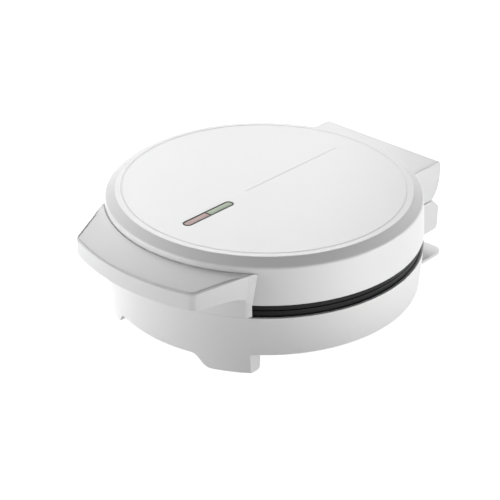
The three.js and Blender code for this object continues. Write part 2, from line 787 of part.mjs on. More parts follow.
for (const [side, sign] of sides) {
  const [start, end] = [knuckleStart, knuckles[2][1]];
  const pin = rod([0, 0, 0], [end - start, 0, 0], pinRadius);
  place(base, `hinge_pin_${side}`, pin, zincSteel, [sign < 0 ? -end : start, hingeY, hingeZ]);
  const headY = (z, radius) => Math.sqrt((radius(z) - wall) ** 2 - (hingeScrewX + screwHead) ** 2) - fitGap;
  const [baseY, lidY] = [headY(baseHingeScrewZ, baseRadiusAt), headY(lidHingeScrewZ, lidRadiusAt)];
  const x = sign * hingeScrewX;
  placeScrew(base, `base_hinge_screw_${side}`, [x, baseY, baseHingeScrewZ], [0, 1, 0], longScrewLength);
  placeScrew(lid, `lid_hinge_screw_${side}`, [x, lidY, lidHingeScrewZ], [0, 1, 0], longScrewLength);
}

// Cooking plate, face up, with its rim's land at z = 0 and its underside below
function cookingPlate(bossLength) {
  const collarInside = collarRadius - plateCollar;
  const casting = turned([
    [0, -cookDepth],
    [cookRadius, -cookDepth],
    [cookRadius + cookDraft, 0],
    [plateRadius - plateEdgeRound, 0],
    [plateRadius, -plateEdgeRound],
    [plateRadius, -plateFlange],
    [collarRadius, -plateFlange],
    [collarRadius, -plateFlange - plateCollarDepth],
    [collarInside, -plateFlange - plateCollarDepth],
    [collarInside, webUnderside],
    [0, webUnderside],
  ], plateSides);
  let made = cut(casting, waferPockets());
  made = made.add(rod([0, 0, webUnderside + weld], [0, 0, shieldFloor + fitGap], postRadius));
  made = cut(made, rod([0, 0, webUnderside], [0, 0, shieldFloor - overrun], screwBore));
  for (const [x, y] of plateScrewPlaces) {
    const boss = rod([x, y, webUnderside + weld], [x, y, -bossLength], bossRadius);
    const bore = rod([x, y, -bossLength + screwLength], [x, y, -bossLength - overrun], screwBore);
    made = cut(made.add(boss), bore);
  }
  return made;
}

// The square pockets that print the wafer, on a grid, as far as the round field reaches
function waferPockets() {
  const half = (waferPitch - waferBar) / 2;
  const reach = Math.floor(cookRadius / waferPitch);
  const pockets = [];
  for (let i = -reach; i <= reach; i += 1) {
    for (let j = -reach; j <= reach; j += 1) {
      const [x, y] = [i * waferPitch, j * waferPitch];
      if (Math.hypot(Math.abs(x) + half, Math.abs(y) + half) > cookRadius - waferBar) continue;
      const low = [x - half, y - half, -cookDepth - waferDepth];
      pockets.push(box(low, [x + half, y + half, waferDepth]));
    }
  }
  return join(...pockets);
}

// Tubular element: an open ring with two straight tails to the back, ending in thin pins
function heatingElement() {
  const open = radians(heaterOpening);
  const count = 2 * smallSides;
  const arc = Array.from({ length: count + 1 }, (_, i) => {
    const angle = Math.PI / 2 + open + ((2 * Math.PI - 2 * open) * i) / count;
    return [heaterRadius * Math.cos(angle), heaterRadius * Math.sin(angle), heaterLevel];
  });
  const tail = (side) => [
    [side * heaterTailX, heaterTailY, heaterLevel],
    [side * heaterTailX, heaterTailY - heaterTube * 2, heaterLevel],
    [side * (heaterTailX + heaterTube), heaterTailY - heaterTube * 4, heaterLevel],
  ];
  const body = tube([...tail(-1), ...arc, ...tail(1).reverse()], heaterTube, heaterSteps);
  const pins = sides.map(([, side]) => {
    const x = side * heaterTailX;
    const from = [x, heaterTailY - weld, heaterLevel];
    return rod(from, [x, heaterTailY + heaterPinLength, heaterLevel], heaterPin, tubeSides);
  });
  return join(body, ...pins);
}

// Pressed shield: a shallow pan that holds the element up against the plate
function heatShield(withThermostat) {
  const slope = shieldSheet * 0.6;
  const pan = ring(
    [
      [shieldBore, shieldFloor],
      [shieldFloorRadius, shieldFloor],
      [shieldRimRadius, shieldTop],
      [shieldOuterRadius, shieldTop],
      [shieldOuterRadius, shieldTop - shieldSheet],
      [shieldRimRadius + slope, shieldTop - shieldSheet],
      [shieldFloorRadius + slope, shieldUnderside],
      [shieldBore, shieldUnderside],
    ],
    middleSides,
  );
  const notch = box(
    [-shieldNotch / 2, shieldOuterRadius - shieldNotchDepth, shieldUnderside - overrun],
    [shieldNotch / 2, shieldOuterRadius + overrun, overrun],
  );
  if (!withThermostat) return cut(pan, notch);
  const [x, y] = [thermostatX, thermostatY];
  const holeRadius = thermostatCap + 2 * runGap;
  const hole = rod([x, y, shieldUnderside - overrun], [x, y, overrun], holeRadius, 2 * smallSides);
  return cut(pan, notch, hole);
}

// Each plate with what hangs on it; the upper set is the lower one turned over
const upperSet = new THREE.Group();
const lowerSet = new THREE.Group();
lowerSet.position.z = lowerLand;
upperSet.position.z = upperLand;
upperSet.rotation.x = Math.PI;
base.add(lowerSet);
lid.add(upperSet);
const lowerBoss = lowerLand - baseFloor - towerHeight - fitGap;
const upperBoss = lidCeiling - towerHeight - fitGap - upperLand;
place(lowerSet, "lower_plate", cookingPlate(lowerBoss), coatedCasting);
place(upperSet, "upper_plate", cookingPlate(upperBoss), coatedCasting);
for (const [name, group] of [
  ["lower", lowerSet],
  ["upper", upperSet],
]) {
  place(group, `${name}_heater`, heatingElement(), elementSheath);
  place(group, `${name}_reflector`, heatShield(name === "lower"), shieldMetal);
  placeScrew(group, `${name}_reflector_screw`, [0, 0, shieldUnderside - fitGap], [0, 0, 1], screwLength / 2);
}
plateScrewPlaces.forEach(([x, y], i) => {
  const lowFace = baseFloor + towerHeight - towerWeb - fitGap;
  const highFace = lidCeiling - towerHeight + towerWeb + fitGap;
  placeScrew(base, `lower_plate_screw_${i + 1}`, [x, y, lowFace], [0, 0, 1]);
  placeScrew(lid, `upper_plate_screw_${i + 1}`, [x, -y, highFace], [0, 0, -1]);
});

// Thermostat: a disc against the plate through the shield, on a body with two blades
function thermostat() {
  const capBottom = webUnderside - fitGap - thermostatCapHeight;
  const bodyBottom = capBottom - thermostatBodyHeight;
  const body = turned(
    [
      [0, webUnderside - fitGap],
      [thermostatCap, webUnderside - fitGap],
      [thermostatCap, capBottom],
      [thermostatBody, capBottom],
      [thermostatBody, bodyBottom],
      [0, bodyBottom],
    ],
    2 * smallSides,
  );
  const blades = sides.map(([, side]) => {
    const x = side * bladeX;
    const low = [x - bladeSheet / 2, -bladeWidth / 2, bodyBottom - bladeLength];
    return box(low, [x + bladeSheet / 2, bladeWidth / 2, bodyBottom + weld]);
  });
  return join(body, ...blades);
}

place(lowerSet, "thermostat", thermostat(), ceramic, [thermostatX, thermostatY, 0]);

// Thermal fuse lying against the underside of the lower shield
const fuseBody = rod([-fuseLength / 2, 0, 0], [fuseLength / 2, 0, 0], fuseRadius);
const fuseWire = rod(
  [-fuseLength / 2 - fuseLeadLength, 0, 0],
  [fuseLength / 2 + fuseLeadLength, 0, 0],
  fuseLead,
  tubeSides,
);
const fuseLevel = shieldUnderside - fitGap - fuseRadius;
place(lowerSet, "thermal_fuse", join(fuseBody, fuseWire), ceramic, [fuseX, fuseY, fuseLevel]);

// Terminal block: a row of cells with a screw hole on top and a wire hole through each
function terminalBlock() {
  const length = blockCell * blockCells;
  let made = box([-length / 2, -blockDepth / 2, 0], [length / 2, blockDepth / 2, blockHeight]);
  for (let i = 0; i < blockCells; i += 1) {
    const x = (i - (blockCells - 1) / 2) * blockCell;
    made = cut(
      made,
      rod([x, 0, blockHeight / 2], [x, 0, blockHeight + overrun], terminalBore, tubeSides),
      rod([x, -blockDepth, blockHeight / 2], [x, blockDepth, blockHeight / 2], terminalBore, tubeSides),
    );
    if (i === 0) continue;
    const slotX = x - blockCell / 2;
    const low = [slotX - blockSlot / 2, -blockDepth, blockHeight - blockSlotDepth];
    made = cut(made, box(low, [slotX + blockSlot / 2, blockDepth, blockHeight + overrun]));
  }
  return made;
}

place(base, "terminal_block", terminalBlock(), ceramic, [blockX, blockY, baseFloor + fitGap]);
place(base, "base_lead", tube(baseLeadPoints, leadRadius, leadSteps), sleeve);
place(lid, "lid_lead", tube(lidLeadPoints, leadRadius, leadSteps), sleeve);

// Lid shell: an upturned cup with a sloped shoulder, a recess for the disc and screw towers inside
function lidShell() {
  const cup = turned([
    [lidBottomRadius, lidRim],
    [lidRadiusAt(lidShoulder - wall / 2), lidShoulder - wall / 2],
    [lidShoulderRadius - wall * 0.3, lidShoulder + wall * 0.3],
    [lidTopRadius + wall * 0.25, lidTop - wall * 0.2],
    [lidTopRadius, lidTop],
    [recessRadius, lidTop],
    [recessRadius, recessFloor],
    [0, recessFloor],
    [0, lidCeiling],
    [recessRadius, lidCeiling],
    [lidShoulderRadius - wall, lidShoulder - wall],
    [lidBottomRadius - wall, lidRim],
    [lidBottomRadius, lidRim],
  ]);
  let made = cup;
  for (const [x, y] of plateScrewPlaces) {
    made = made.add(rod([x, -y, lidCeiling + weld], [x, -y, lidCeiling - towerHeight], towerRadius));
  }
  return cut(made, ...lidShellHoles());
}

// A rod that points outwards from the lid's axis at a height, at an angle from the front
function radialRod(angle, from, to, z, radius) {
  const [sx, sy] = [Math.sin(angle), -Math.cos(angle)];
  return rod([from * sx, from * sy, z], [to * sx, to * sy, z], radius);
}

// Everything that is cut through the lid shell
function lidShellHoles() {
  const holes = [lidLeadWay];
  for (const [x, y] of plateScrewPlaces) {
    const webBottom = lidCeiling - towerHeight;
    holes.push(rod([x, -y, lidTop + overrun], [x, -y, webBottom + towerWeb], screwHead + headGap));
    holes.push(rod([x, -y, lidTop], [x, -y, webBottom - overrun], screwBore));
  }
  for (const [, side] of sides) {
    const angle = side * radians(handleScrewAngle);
    holes.push(hingeScrewBore(side, lidHingeScrewZ));
    holes.push(radialRod(angle, discRadius, apronRadius, handleScrewZ, screwBore));
  }
  const light = roundEnded(
    windowX,
    windowFront + 2 * frameWidth,
    windowBack - 2 * frameWidth,
    windowHalf - 2 * frameWidth,
  );
  holes.push(raised(light, lidCeiling - weld, lidTop));
  return holes;
}

place(lid, "lid_shell", lidShell(), whitePlastic);

// Decor disc with the engraved line and the hole for the window
function lidTopDisc() {
  const low = recessFloor + fitGap;
  const disc = turned([
    [0, low],
    [discRadius, low],
    [discRadius, lidTop],
    [0, lidTop],
  ]);
  const hole = roundEnded(windowX, windowFront - fitGap, windowBack + fitGap, windowHalf + fitGap);
  const line = box(
    [lineX - lineWidth / 2, lineFront, lidTop - lineDepth],
    [lineX + lineWidth / 2, lineBack, lidTop + overrun],
  );
  return cut(disc, raised(hole, low - overrun, lidTop + overrun), line);
}

place(lid, "lid_top_disc", lidTopDisc(), discPlastic);

// Window: a dark frame with a divider, round two lenses
const windowLow = recessFloor + fitGap;
function lensHole(y0, y1) {
  const half = windowHalf - frameWidth;
  const whole = roundEnded(windowX, windowFront + frameWidth, windowBack - frameWidth, half);
  const [low, high] = [windowLow - overrun, lidTop + overrun];
  return raised(whole, low, high).intersect(box([windowX - half, y0, low], [windowX + half, y1, high]));
}

function windowFrame() {
  const outline = roundEnded(windowX, windowFront, windowBack, windowHalf);
  return cut(
    raised(outline, windowLow, lidTop + frameProud),
    lensHole(windowFront, windowDivide - frameWidth / 2),
    lensHole(windowDivide + frameWidth / 2, windowBack),
  );
}

function lens(y0, y1) {
  const half = windowHalf - frameWidth - lensGap;
  const inset = frameWidth + lensGap;
  const whole = roundEnded(windowX, windowFront + inset, windowBack - inset, half);
  const [low, high] = [windowLow, lidTop + frameProud];
  const field = box([windowX - half, y0 + lensGap, low], [windowX + half, y1 - lensGap, high]);
  return raised(whole, windowLow, lidTop + frameProud / 2).intersect(field);
}

place(lid, "indicator_bezel", windowFrame(), darkFrame);
place(lid, "indicator_lens_red", lens(windowFront, windowDivide - frameWidth / 2), redLens);
place(lid, "indicator_lens_green", lens(windowDivide + frameWidth / 2, windowBack), greenLens);

// Lamp holder: a trough under the window's slot with a lamp under each lens
const troughFloor = lidCeiling - fitGap - holderDepth + holderWall;
const holderLow = [windowX - holderHalf, windowFront - holderPast, lidCeiling - fitGap - holderDepth];
const holderHigh = [windowX + holderHalf, windowBack + holderPast, lidCeiling - fitGap];
const troughHalf = lampRadius + fitGap;
const trough = (y0, y1) =>
  box([windowX - troughHalf, y0, troughFloor], [windowX + troughHalf, y1, lidCeiling + overrun]);
const lampHolder = cut(
  box(holderLow, holderHigh),
  trough(windowFront, windowDivide - holderWall / 2),
  trough(windowDivide + holderWall / 2, windowBack),
);
place(lid, "lamp_holder", lampHolder, ceramic);
const lampShape = solid(new THREE.CapsuleGeometry(lampRadius, lampStraight, 3, tubeSides));
for (const [name, y] of [
  ["neon_lamp_red", (windowFront + windowDivide) / 2],
  ["neon_lamp_green", (windowDivide + windowBack) / 2],
]) {
  place(lid, name, lampShape, lampGlass, [windowX, y, troughFloor + fitGap + lampRadius]);
}

// The handle's outline from above, drawn in by an inset
function handleOutline(inset) {
  const [rootX, cornerX] = [handleRootHalf - inset, handleCornerX - inset];
  const [front, cornerY] = [handleFront - inset, handleCornerY - inset];
  const bow = front - cornerY;
  const bowRadius = (cornerX ** 2 + bow ** 2) / (2 * bow);
  const bowCentre = bowRadius - front;
  const edge = new THREE.Vector2(rootX - cornerX, cornerY - handleRootY).normalize();
  const round = handleCornerRound;
  const stop = Math.asin((cornerX - round) / bowRadius);
  const nearX = cornerX + edge.x * round;
  const nearY = -cornerY + edge.y * round;
  const shape = new THREE.Shape();
  shape.moveTo(-rootX, -handleRootY);
  shape.lineTo(-nearX, nearY);
  const [endX, endY] = [bowRadius * Math.sin(stop), bowCentre - bowRadius * Math.cos(stop)];
  shape.quadraticCurveTo(-cornerX, -cornerY, -endX, endY);
  shape.absarc(0, bowCentre, bowRadius, -Math.PI / 2 - stop, -Math.PI / 2 + stop, false);
  shape.quadraticCurveTo(cornerX, -cornerY, nearX, nearY);
  shape.lineTo(rootX, -handleRootY);
  return shape;
}

// The handle's top and underside fall away from the lid as cones
const handleTopAt = (r) =>
  handleRootTop +
  ((handleFrontTop - handleRootTop) * (r - lidShoulderRadius)) / (handleFront - lidShoulderRadius);
const handleBottomAt = (r) =>
  handleRootBottom +
  ((handleFrontBottom - handleRootBottom) * (r - lidShoulderRadius)) / (handleFront - lidShoulderRadius);

// The space between the two cones, from one radius outwards
function handleSlice(inner, below, above) {
  const outer = handleFront + overrun * 2;
  return ring([
    [inner, below(inner)],
    [outer, below(outer)],
    [outer, above(outer)],
    [inner, above(inner)],
  ]);
}

function handleBody() {
  const low = handleFrontBottom - overrun;
  const inner = lidShoulderRadius - wall;
  const wing = raised(handleOutline(0), baseFloor, lidTop, 2 * cornerSteps);
  const slab = wing.intersect(handleSlice(inner, handleBottomAt, handleTopAt));
  const band = ring([
    [inner, apronBottom],
    [apronRadius, apronBottom],
    [apronRadius, handleTopAt(apronRadius)],
    [inner, handleTopAt(inner)],
  ]).intersect(wing);
  const hollow = raised(handleOutline(handleWall), low, lidTop, 2 * cornerSteps).intersect(
    handleSlice(apronRadius, () => low, (r) => handleTopAt(r) - handleWall),
  );
  const posts = sides.flatMap(([, side]) => [
    radialRod(
      side * radians(handleScrewAngle),
      apronRadius - weld,
      apronRadius + handlePostLength,
      handleScrewZ,
      handlePostRadius,
    ),
    rod(
      [side * coverScrewX, -coverScrewY, coverSeat + fitGap],
      [side * coverScrewX, -coverScrewY, handleFrontTop - handleWall / 2],
      handlePostRadius,
    ),
  ]);
  const bores = sides.flatMap(([, side]) => [
    radialRod(
      side * radians(handleScrewAngle),
      lidShoulderRadius - overrun,
      apronRadius + handlePostLength - weld,
      handleScrewZ,
      screwBore,
    ),
    rod(
      [side * coverScrewX, -coverScrewY, low],
      [side * coverScrewX, -coverScrewY, coverSeat + screwLength / 2 + fitGap],
      screwBore,
    ),
  ]);
  return cut(join(cut(join(slab, band), hollow), ...posts), insideLid, ...bores);
}

// Cover that closes the handle from below, inside its walls
const coverScrewRadius = Math.hypot(coverScrewX, coverScrewY);
const coverSeat = handleBottomAt(coverScrewRadius - handlePostRadius) + coverThickness;
function handleUnderCover() {
  const inset = handleWall + fitGap;
  const outline = raised(handleOutline(inset), handleFrontBottom - overrun, lidTop, 2 * cornerSteps);
  const slab = handleSlice(apronRadius + fitGap, handleBottomAt, (r) => handleBottomAt(r) + coverThickness);
  const holes = sides.flatMap(([, side]) => {
    const [x, y] = [side * coverScrewX, -coverScrewY];
    return [
      rod([x, y, coverSeat - overrun], [x, y, coverSeat + overrun], screwBore),
      rod([x, y, coverSeat - overrun], [x, y, coverSeat - coverWeb], screwHead + fitGap),
    ];
  });
  return cut(outline.intersect(slab), ...holes);
}

place(lid, "handle", handleBody(), whitePlastic);
place(lid, "handle_under_cover", handleUnderCover(), whitePlastic);
for (const [side, sign] of sides) {
  const seat = [sign * coverScrewX, -coverScrewY, coverSeat - coverWeb - fitGap];
  placeScrew(lid, `handle_cover_screw_${side}`, seat, [0, 0, 1], screwLength / 2);
  const angle = sign * radians(handleScrewAngle);
  const headR = lidRadiusAt(handleScrewZ) - wall - 2 * fitGap;
  const way = [Math.sin(angle), -Math.cos(angle), 0];
  placeScrew(lid, `handle_screw_${side}`, [headR * way[0], headR * way[1], handleScrewZ], way);
}

function lidHingeHousing() {
  const shell = hingeBlock(lidBlockOutline, insideLid, lidHingeScrewZ, lidBlockBack);
  const rimWay = rod([0, 0, baseRim - overrun], [0, 0, lidRim], baseTopRadius + runGap, roundSides);
  const made = join(
    cut(shell, rimWay, onHingeAxis(baseKnuckles, knuckleRadius + runGap, runGap)),
    knuckleWebs(lidKnuckles, hingeZ + 2 * knuckleRadius),
    onHingeAxis(lidKnuckles, knuckleRadius),
  );
  return cut(made, pinBores, leadNotch(2 * leadRadius), lidLeadWay);
}

place(lid, "lid_hinge_housing", lidHingeHousing(), whitePlastic);

export default waferMaker;
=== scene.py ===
"""A round electric wafer maker with a hinged lid: its looks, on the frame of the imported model."""

import json
import logging
import math
from collections.abc import Callable, Sequence
from dataclasses import dataclass
from enum import Enum

import bmesh
import bpy
import numpy as np
from mathutils import Euler, Matrix, Vector
from mathutils.geometry import tessellate_polygon


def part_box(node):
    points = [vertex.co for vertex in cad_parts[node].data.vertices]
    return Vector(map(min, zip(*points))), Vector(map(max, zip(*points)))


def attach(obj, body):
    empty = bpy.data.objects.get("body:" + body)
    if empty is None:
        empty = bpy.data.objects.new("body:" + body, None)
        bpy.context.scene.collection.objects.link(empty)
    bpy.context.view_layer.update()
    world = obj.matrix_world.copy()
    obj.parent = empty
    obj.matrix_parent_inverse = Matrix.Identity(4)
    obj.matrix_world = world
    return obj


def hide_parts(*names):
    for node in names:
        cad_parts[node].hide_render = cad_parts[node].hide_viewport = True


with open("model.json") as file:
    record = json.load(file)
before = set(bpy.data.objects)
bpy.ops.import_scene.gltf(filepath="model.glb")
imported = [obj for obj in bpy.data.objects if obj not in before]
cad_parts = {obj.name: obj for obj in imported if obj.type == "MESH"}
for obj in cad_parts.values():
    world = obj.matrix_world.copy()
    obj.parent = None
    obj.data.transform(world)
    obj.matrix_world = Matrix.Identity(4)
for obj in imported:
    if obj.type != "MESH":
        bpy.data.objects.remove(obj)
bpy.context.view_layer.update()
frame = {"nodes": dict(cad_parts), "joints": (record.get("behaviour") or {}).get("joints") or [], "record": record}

MM = 0.001
LOG = logging.getLogger("wafer_maker")
Array = np.ndarray
Outline = Callable[[float], Array]
Colour = tuple[float, float, float]
Pair = tuple[float, float]
Socket = bpy.types.NodeSocket
TINY = 1e-7
PAD_FIT = 0.3 * MM
PAD_COUNT = 48


class Body(Enum):
    """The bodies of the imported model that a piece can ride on."""

    BASE = "base"
    LID = "lid"


class Slot(Enum):
    """The record's material slots."""

    WHITE = "white_plastic"
    DISC = "disc_plastic"
    COATED = "coated_casting"
    SHEATH = "element_sheath"
    SHIELD = "shield_metal"
    ZINC = "zinc_steel"
    PAD = "soft_pad"
    FRAME = "dark_frame"
    RED = "red_lens"
    GREEN = "green_lens"
    LAMP = "lamp_glass"
    CERAMIC = "ceramic"
    SLEEVE = "sleeve"


# Shapes
def box_of(node: str) -> tuple[Array, Array]:
    """Gives the lowest and the highest corner of a CAD node, in metres."""
    low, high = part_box(node)
    return np.array(low), np.array(high)


def rounded(corners: Sequence[Pair], radii: Sequence[float], steps: int = 5) -> Array:
    """Rounds the corners of a closed outline.

    At a corner B with unit directions u and w to its neighbours and g the angle between them, the arc
    of radius r starts r / tan(g / 2) from B along u, ends as far along w, and its centre lies
    r / sin(g / 2) from B along u + w.

    Args:
        corners: the corners in order, in metres.
        radii: one radius for each corner.
        steps: how many stretches each arc has.

    Returns:
        The outline as an array of points, (len(corners) * (steps + 1), 2).
    """
    points = np.array(corners, float)
    radius = np.maximum(np.array(radii, float), TINY)[:, None]
    to_last = np.roll(points, 1, 0) - points
    to_next = np.roll(points, -1, 0) - points
    u = to_last / np.linalg.norm(to_last, axis=1, keepdims=True)
    w = to_next / np.linalg.norm(to_next, axis=1, keepdims=True)
    half = np.arccos(np.clip((u * w).sum(1, keepdims=True), -1, 1)) / 2
    middle = (u + w) / np.linalg.norm(u + w, axis=1, keepdims=True)
    centre = points + middle * radius / np.sin(half)
    start = points + u * radius / np.tan(half) - centre
    end = points + w * radius / np.tan(half) - centre
    turn = (math.pi - 2 * half)[:, None]
    share = np.linspace(0, 1, steps + 1)[None, :, None]
    arc = (np.sin((1 - share) * turn) * start[:, None] + np.sin(share * turn) * end[:, None]) / np.sin(turn)
    return (centre[:, None] + arc).reshape(-1, 2)


def rectangle(low: Pair, high: Pair, radius: float, steps: int = 6) -> Outline:
    """Gives a rectangle with rounded corners that can be drawn in by an inset.

    Args:
        low: its lowest corner.
        high: its highest corner.
        radius: the corners' radius.
        steps: how many stretches each corner has.

    Returns:
        A function from an inset to the outline's points.
    """

    def outline(inset: float) -> Array:
        """Gives the rectangle's points at an inset."""
        (x0, y0), (x1, y1) = (low[0] + inset, low[1] + inset), (high[0] - inset, high[1] - inset)
        return rounded([(x0, y0), (x1, y0), (x1, y1), (x0, y1)], [max(radius - inset, 0.0)] * 4, steps)

    return outline


def circle(x: float, y: float, radius: float, count: int) -> Outline:
    """Gives a circle of count points that can be drawn in by an inset."""
    angle = np.linspace(0, 2 * math.pi, count, endpoint=False)
    unit = np.stack([np.cos(angle), np.sin(angle)], 1)
    return lambda inset: np.array([x, y]) + (radius - inset) * unit


def stadium(x: float, y0: float, y1: float, half: float, steps: int = 12) -> Outline:
    """Gives a long outline with round ends, along Y.

    Args:
        x: its middle.
        y0: its front end.
        y1: its back end.
        half: half its width.
        steps: how many stretches each round end has.

    Returns:
        A function from an inset to the outline's points.
    """
    angle = np.linspace(0, math.pi, steps + 1)
    arc = np.stack([np.cos(angle), np.sin(angle)], 1)

    def outline(inset: float) -> Array:
        """Gives the stadium's points at an inset."""
        back = np.array([x, y1 - half]) + (half - inset) * arc
        front = np.array([x, y0 + half]) - (half - inset) * arc
        return np.concatenate([back, front])

    return outline


def quarter(steps: int) -> tuple[Array, Array]:
    """Gives the sine and the cosine at even steps of a quarter turn, as columns."""
    angle = np.linspace(0, math.pi / 2, steps + 1)[:, None]
    return np.sin(angle), np.cos(angle)


def edge_levels(low: float, high: float, radius: float, top: float | None = None, steps: int = 4) -> Array:
    """Gives the heights and insets of an upright wall whose two edges are rounded.

    An edge of radius r is a quarter circle: at angle a its inset is r (1 - cos a) and it lies
    r (1 - sin a) inside the end.

    Args:
        low: where the wall starts.
        high: where it ends.
        radius: the radius of the first edge, and of the second where top is None.
        top: the radius of the second edge.
        steps: how many stretches each edge has.

    Returns:
        An array of (height, inset) pairs.
    """
    last = radius if top is None else top
    way = math.copysign(1.0, high - low)
    sine, cosine = quarter(steps)
    first = np.hstack([low + way * radius * (1 - sine), radius * (1 - cosine)])[::-1]
    second = np.hstack([high - way * last * (1 - sine), last * (1 - cosine)])
    return np.concatenate([first, second])


def flared(levels: Array, gap: float = 0.0) -> Array:
    """Turns a wall's levels into those of a hole round it, with a gap: each inset becomes an outset."""
    return levels * np.array([1, -1]) - np.array([0, gap])


def stepped(start: float, steps: Sequence[Pair], way: float = 1.0) -> Array:
    """Gives levels from a height and (rise, inset) steps in millimetres, downwards where way is -1."""
    return np.array([start, 0.0]) + np.array(steps) * MM * np.array([way, 1.0])


def cut_levels(start: float, end: float, flare: float, bevel: float = 0.0) -> Array:
    """Gives the levels of a recess in a face: a flared mouth, an upright wall and a bevelled end."""
    last = [(end - bevel, 0.0), (end, bevel)] if bevel else [(end, 0.0)]
    return np.array([(start, -flare), (start + flare, 0.0), *last])


def half_width(node: str) -> float:
    """Gives half the width of a CAD node along X."""
    low, high = box_of(node)
    return float(high[0] - low[0]) / 2


class Skin:
    """A mesh in the making: loops of points, the bands between them and flat caps, in metres."""

    def __init__(self) -> None:
        """Starts with no points."""
        self.points: list[Array] = []
        self.faces: list[list[int]] = []
        self.count = 0

    def grid(self, points: Array, wrap_rows: bool = False, wrap_columns: bool = False) -> Array:
        """Adds a grid of points with a quad between each four neighbours.

        Args:
            points: an array of shape (rows, columns, 3).
            wrap_rows: whether the last row joins the first.
            wrap_columns: whether the last column joins the first.

        Returns:
            The points' numbers, of shape (rows, columns).
        """
        numbers = self.count + np.arange(points.size // 3).reshape(points.shape[:-1])
        self.points.append(points.reshape(-1, 3))
        self.count += numbers.size
        a = numbers if wrap_rows else numbers[:-1]
        b = np.roll(numbers, -1, 0)[: len(a)]
        a, b = (np.concatenate([n, n[:, :1]], 1) if wrap_columns else n for n in (a, b))
        quads = np.stack([a[:, :-1], b[:, :-1], b[:, 1:], a[:, 1:]], -1)
        self.faces.extend(quads.reshape(-1, 4).tolist())
        return numbers

    def turned(self, profile: Array, count: int, closed: bool = False) -> Array:
        """Turns a profile of (radius, height) pairs round the Z axis.

        The point at angle a is (r cos a, r sin a, z). A profile that ends on the axis closes there.

        Args:
            profile: the profile's points.
            count: how many steps a whole turn has.
            closed: whether the profile joins its own start.

        Returns:
            The points' numbers, of shape (count, len(profile)).
        """
        angle = np.linspace(0, 2 * math.pi, count, endpoint=False)[:, None]
        r, z = profile[None, :, 0], np.broadcast_to(profile[None, :, 1], (count, len(profile)))
        return self.grid(np.stack([r * np.cos(angle), r * np.sin(angle), z], -1), True, closed)

    def stacked(self, outline: Outline, levels: Array, axis: int = 2) -> Array:
        """Carries an outline along an axis, drawn in by an inset at each level.

        Args:
            outline: a function from an inset to a closed outline in the other two axes.
            levels: (place along the axis, inset) pairs.
            axis: 0 for X or 2 for Z.

        Returns:
            The points' numbers, of shape (len(levels), points in the outline).
        """
        rings = [np.insert(outline(inset), axis, place, 1) for place, inset in levels]
        return self.grid(np.stack(rings), False, True)

    def cap(self, outer: Array, *holes: Array) -> None:
        """Fills a flat loop, and leaves its holes open."""
        points = np.concatenate(self.points)
        loops = [[Vector(point) for point in points[loop]] for loop in (outer, *holes)]
        numbers = np.concatenate([outer, *holes])
        self.faces.extend(numbers[np.array(tessellate_polygon(loops))].tolist())

    def close(self, rings: Array) -> None:
        """Fills the first and the last of some rings."""
        self.cap(rings[0])
        self.cap(rings[-1])

    def solid(self, outline: Outline, levels: Array, axis: int = 2) -> None:
        """Carries an outline along an axis and closes both ends."""
        self.close(self.stacked(outline, levels, axis))

    def pit(self, outline: Outline, levels: Array) -> Array:
        """Carries an outline through heights, closes the last and returns the loop of the first."""
        rings = self.stacked(outline, levels)
        self.cap(rings[-1])
        return rings[0]

    def shift(self, *by: float) -> None:
        """Moves everything made so far along X, Y and Z."""
        for points in self.points:
            points += np.array(by)

    def turn_over(self, height: float) -> None:
        """Turns everything made so far upside down about a line along X at a height."""
        for points in self.points:
            points[:, 1] *= -1
            points[:, 2] = 2 * height - points[:, 2]

    def pad_recess(self, node: str, x: float, y: float, face: float, flare: float) -> Array:
        """Adds a pad's recess, a little wider and deeper than the pad, and returns its mouth's loop."""
        end = box_of(node)[1][2] + PAD_FIT
        return self.pit(circle(x, y, half_width(node) + PAD_FIT, PAD_COUNT), cut_levels(face, end, flare))

    def made(self, name: str, body: Body, slot: Slot, nodes: Sequence[str], sharp: float = 32.0) -> None:
        """Makes the piece, rides it on its body and lets it stand for its CAD nodes.

        Args:
            name: the piece's name.
            body: the body that it rides on.
            slot: the material slot of its finish.
            nodes: the CAD nodes that it stands for.
            sharp: the angle in degrees above which an edge stays sharp.
        """
        mesh = bpy.data.meshes.new(name)
        mesh.from_pydata(np.concatenate(self.points).tolist(), [], self.faces)
        shape = bmesh.new()
        shape.from_mesh(mesh)
        bmesh.ops.remove_doubles(shape, verts=shape.verts, dist=2 * TINY)
        bmesh.ops.dissolve_degenerate(shape, edges=shape.edges, dist=TINY)
        bmesh.ops.recalc_face_normals(shape, faces=shape.faces)
        open_edges = sum(not edge.is_manifold for edge in shape.edges)
        shape.to_mesh(mesh)
        shape.free()
        mesh.shade_smooth()
        mesh.set_sharp_from_angle(angle=math.radians(sharp))
        mesh.materials.append(FINISHES[slot].material())
        piece = bpy.data.objects.new(name, mesh)
        bpy.context.scene.collection.objects.link(piece)
        weighted = piece.modifiers.new("flat_faces_stay_flat", "WEIGHTED_NORMAL")
        weighted.keep_sharp = True
        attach(piece, body.value)
        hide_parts(*nodes)
        LOG.info("%s: %d faces, %d open edges", name, len(mesh.polygons), open_edges)


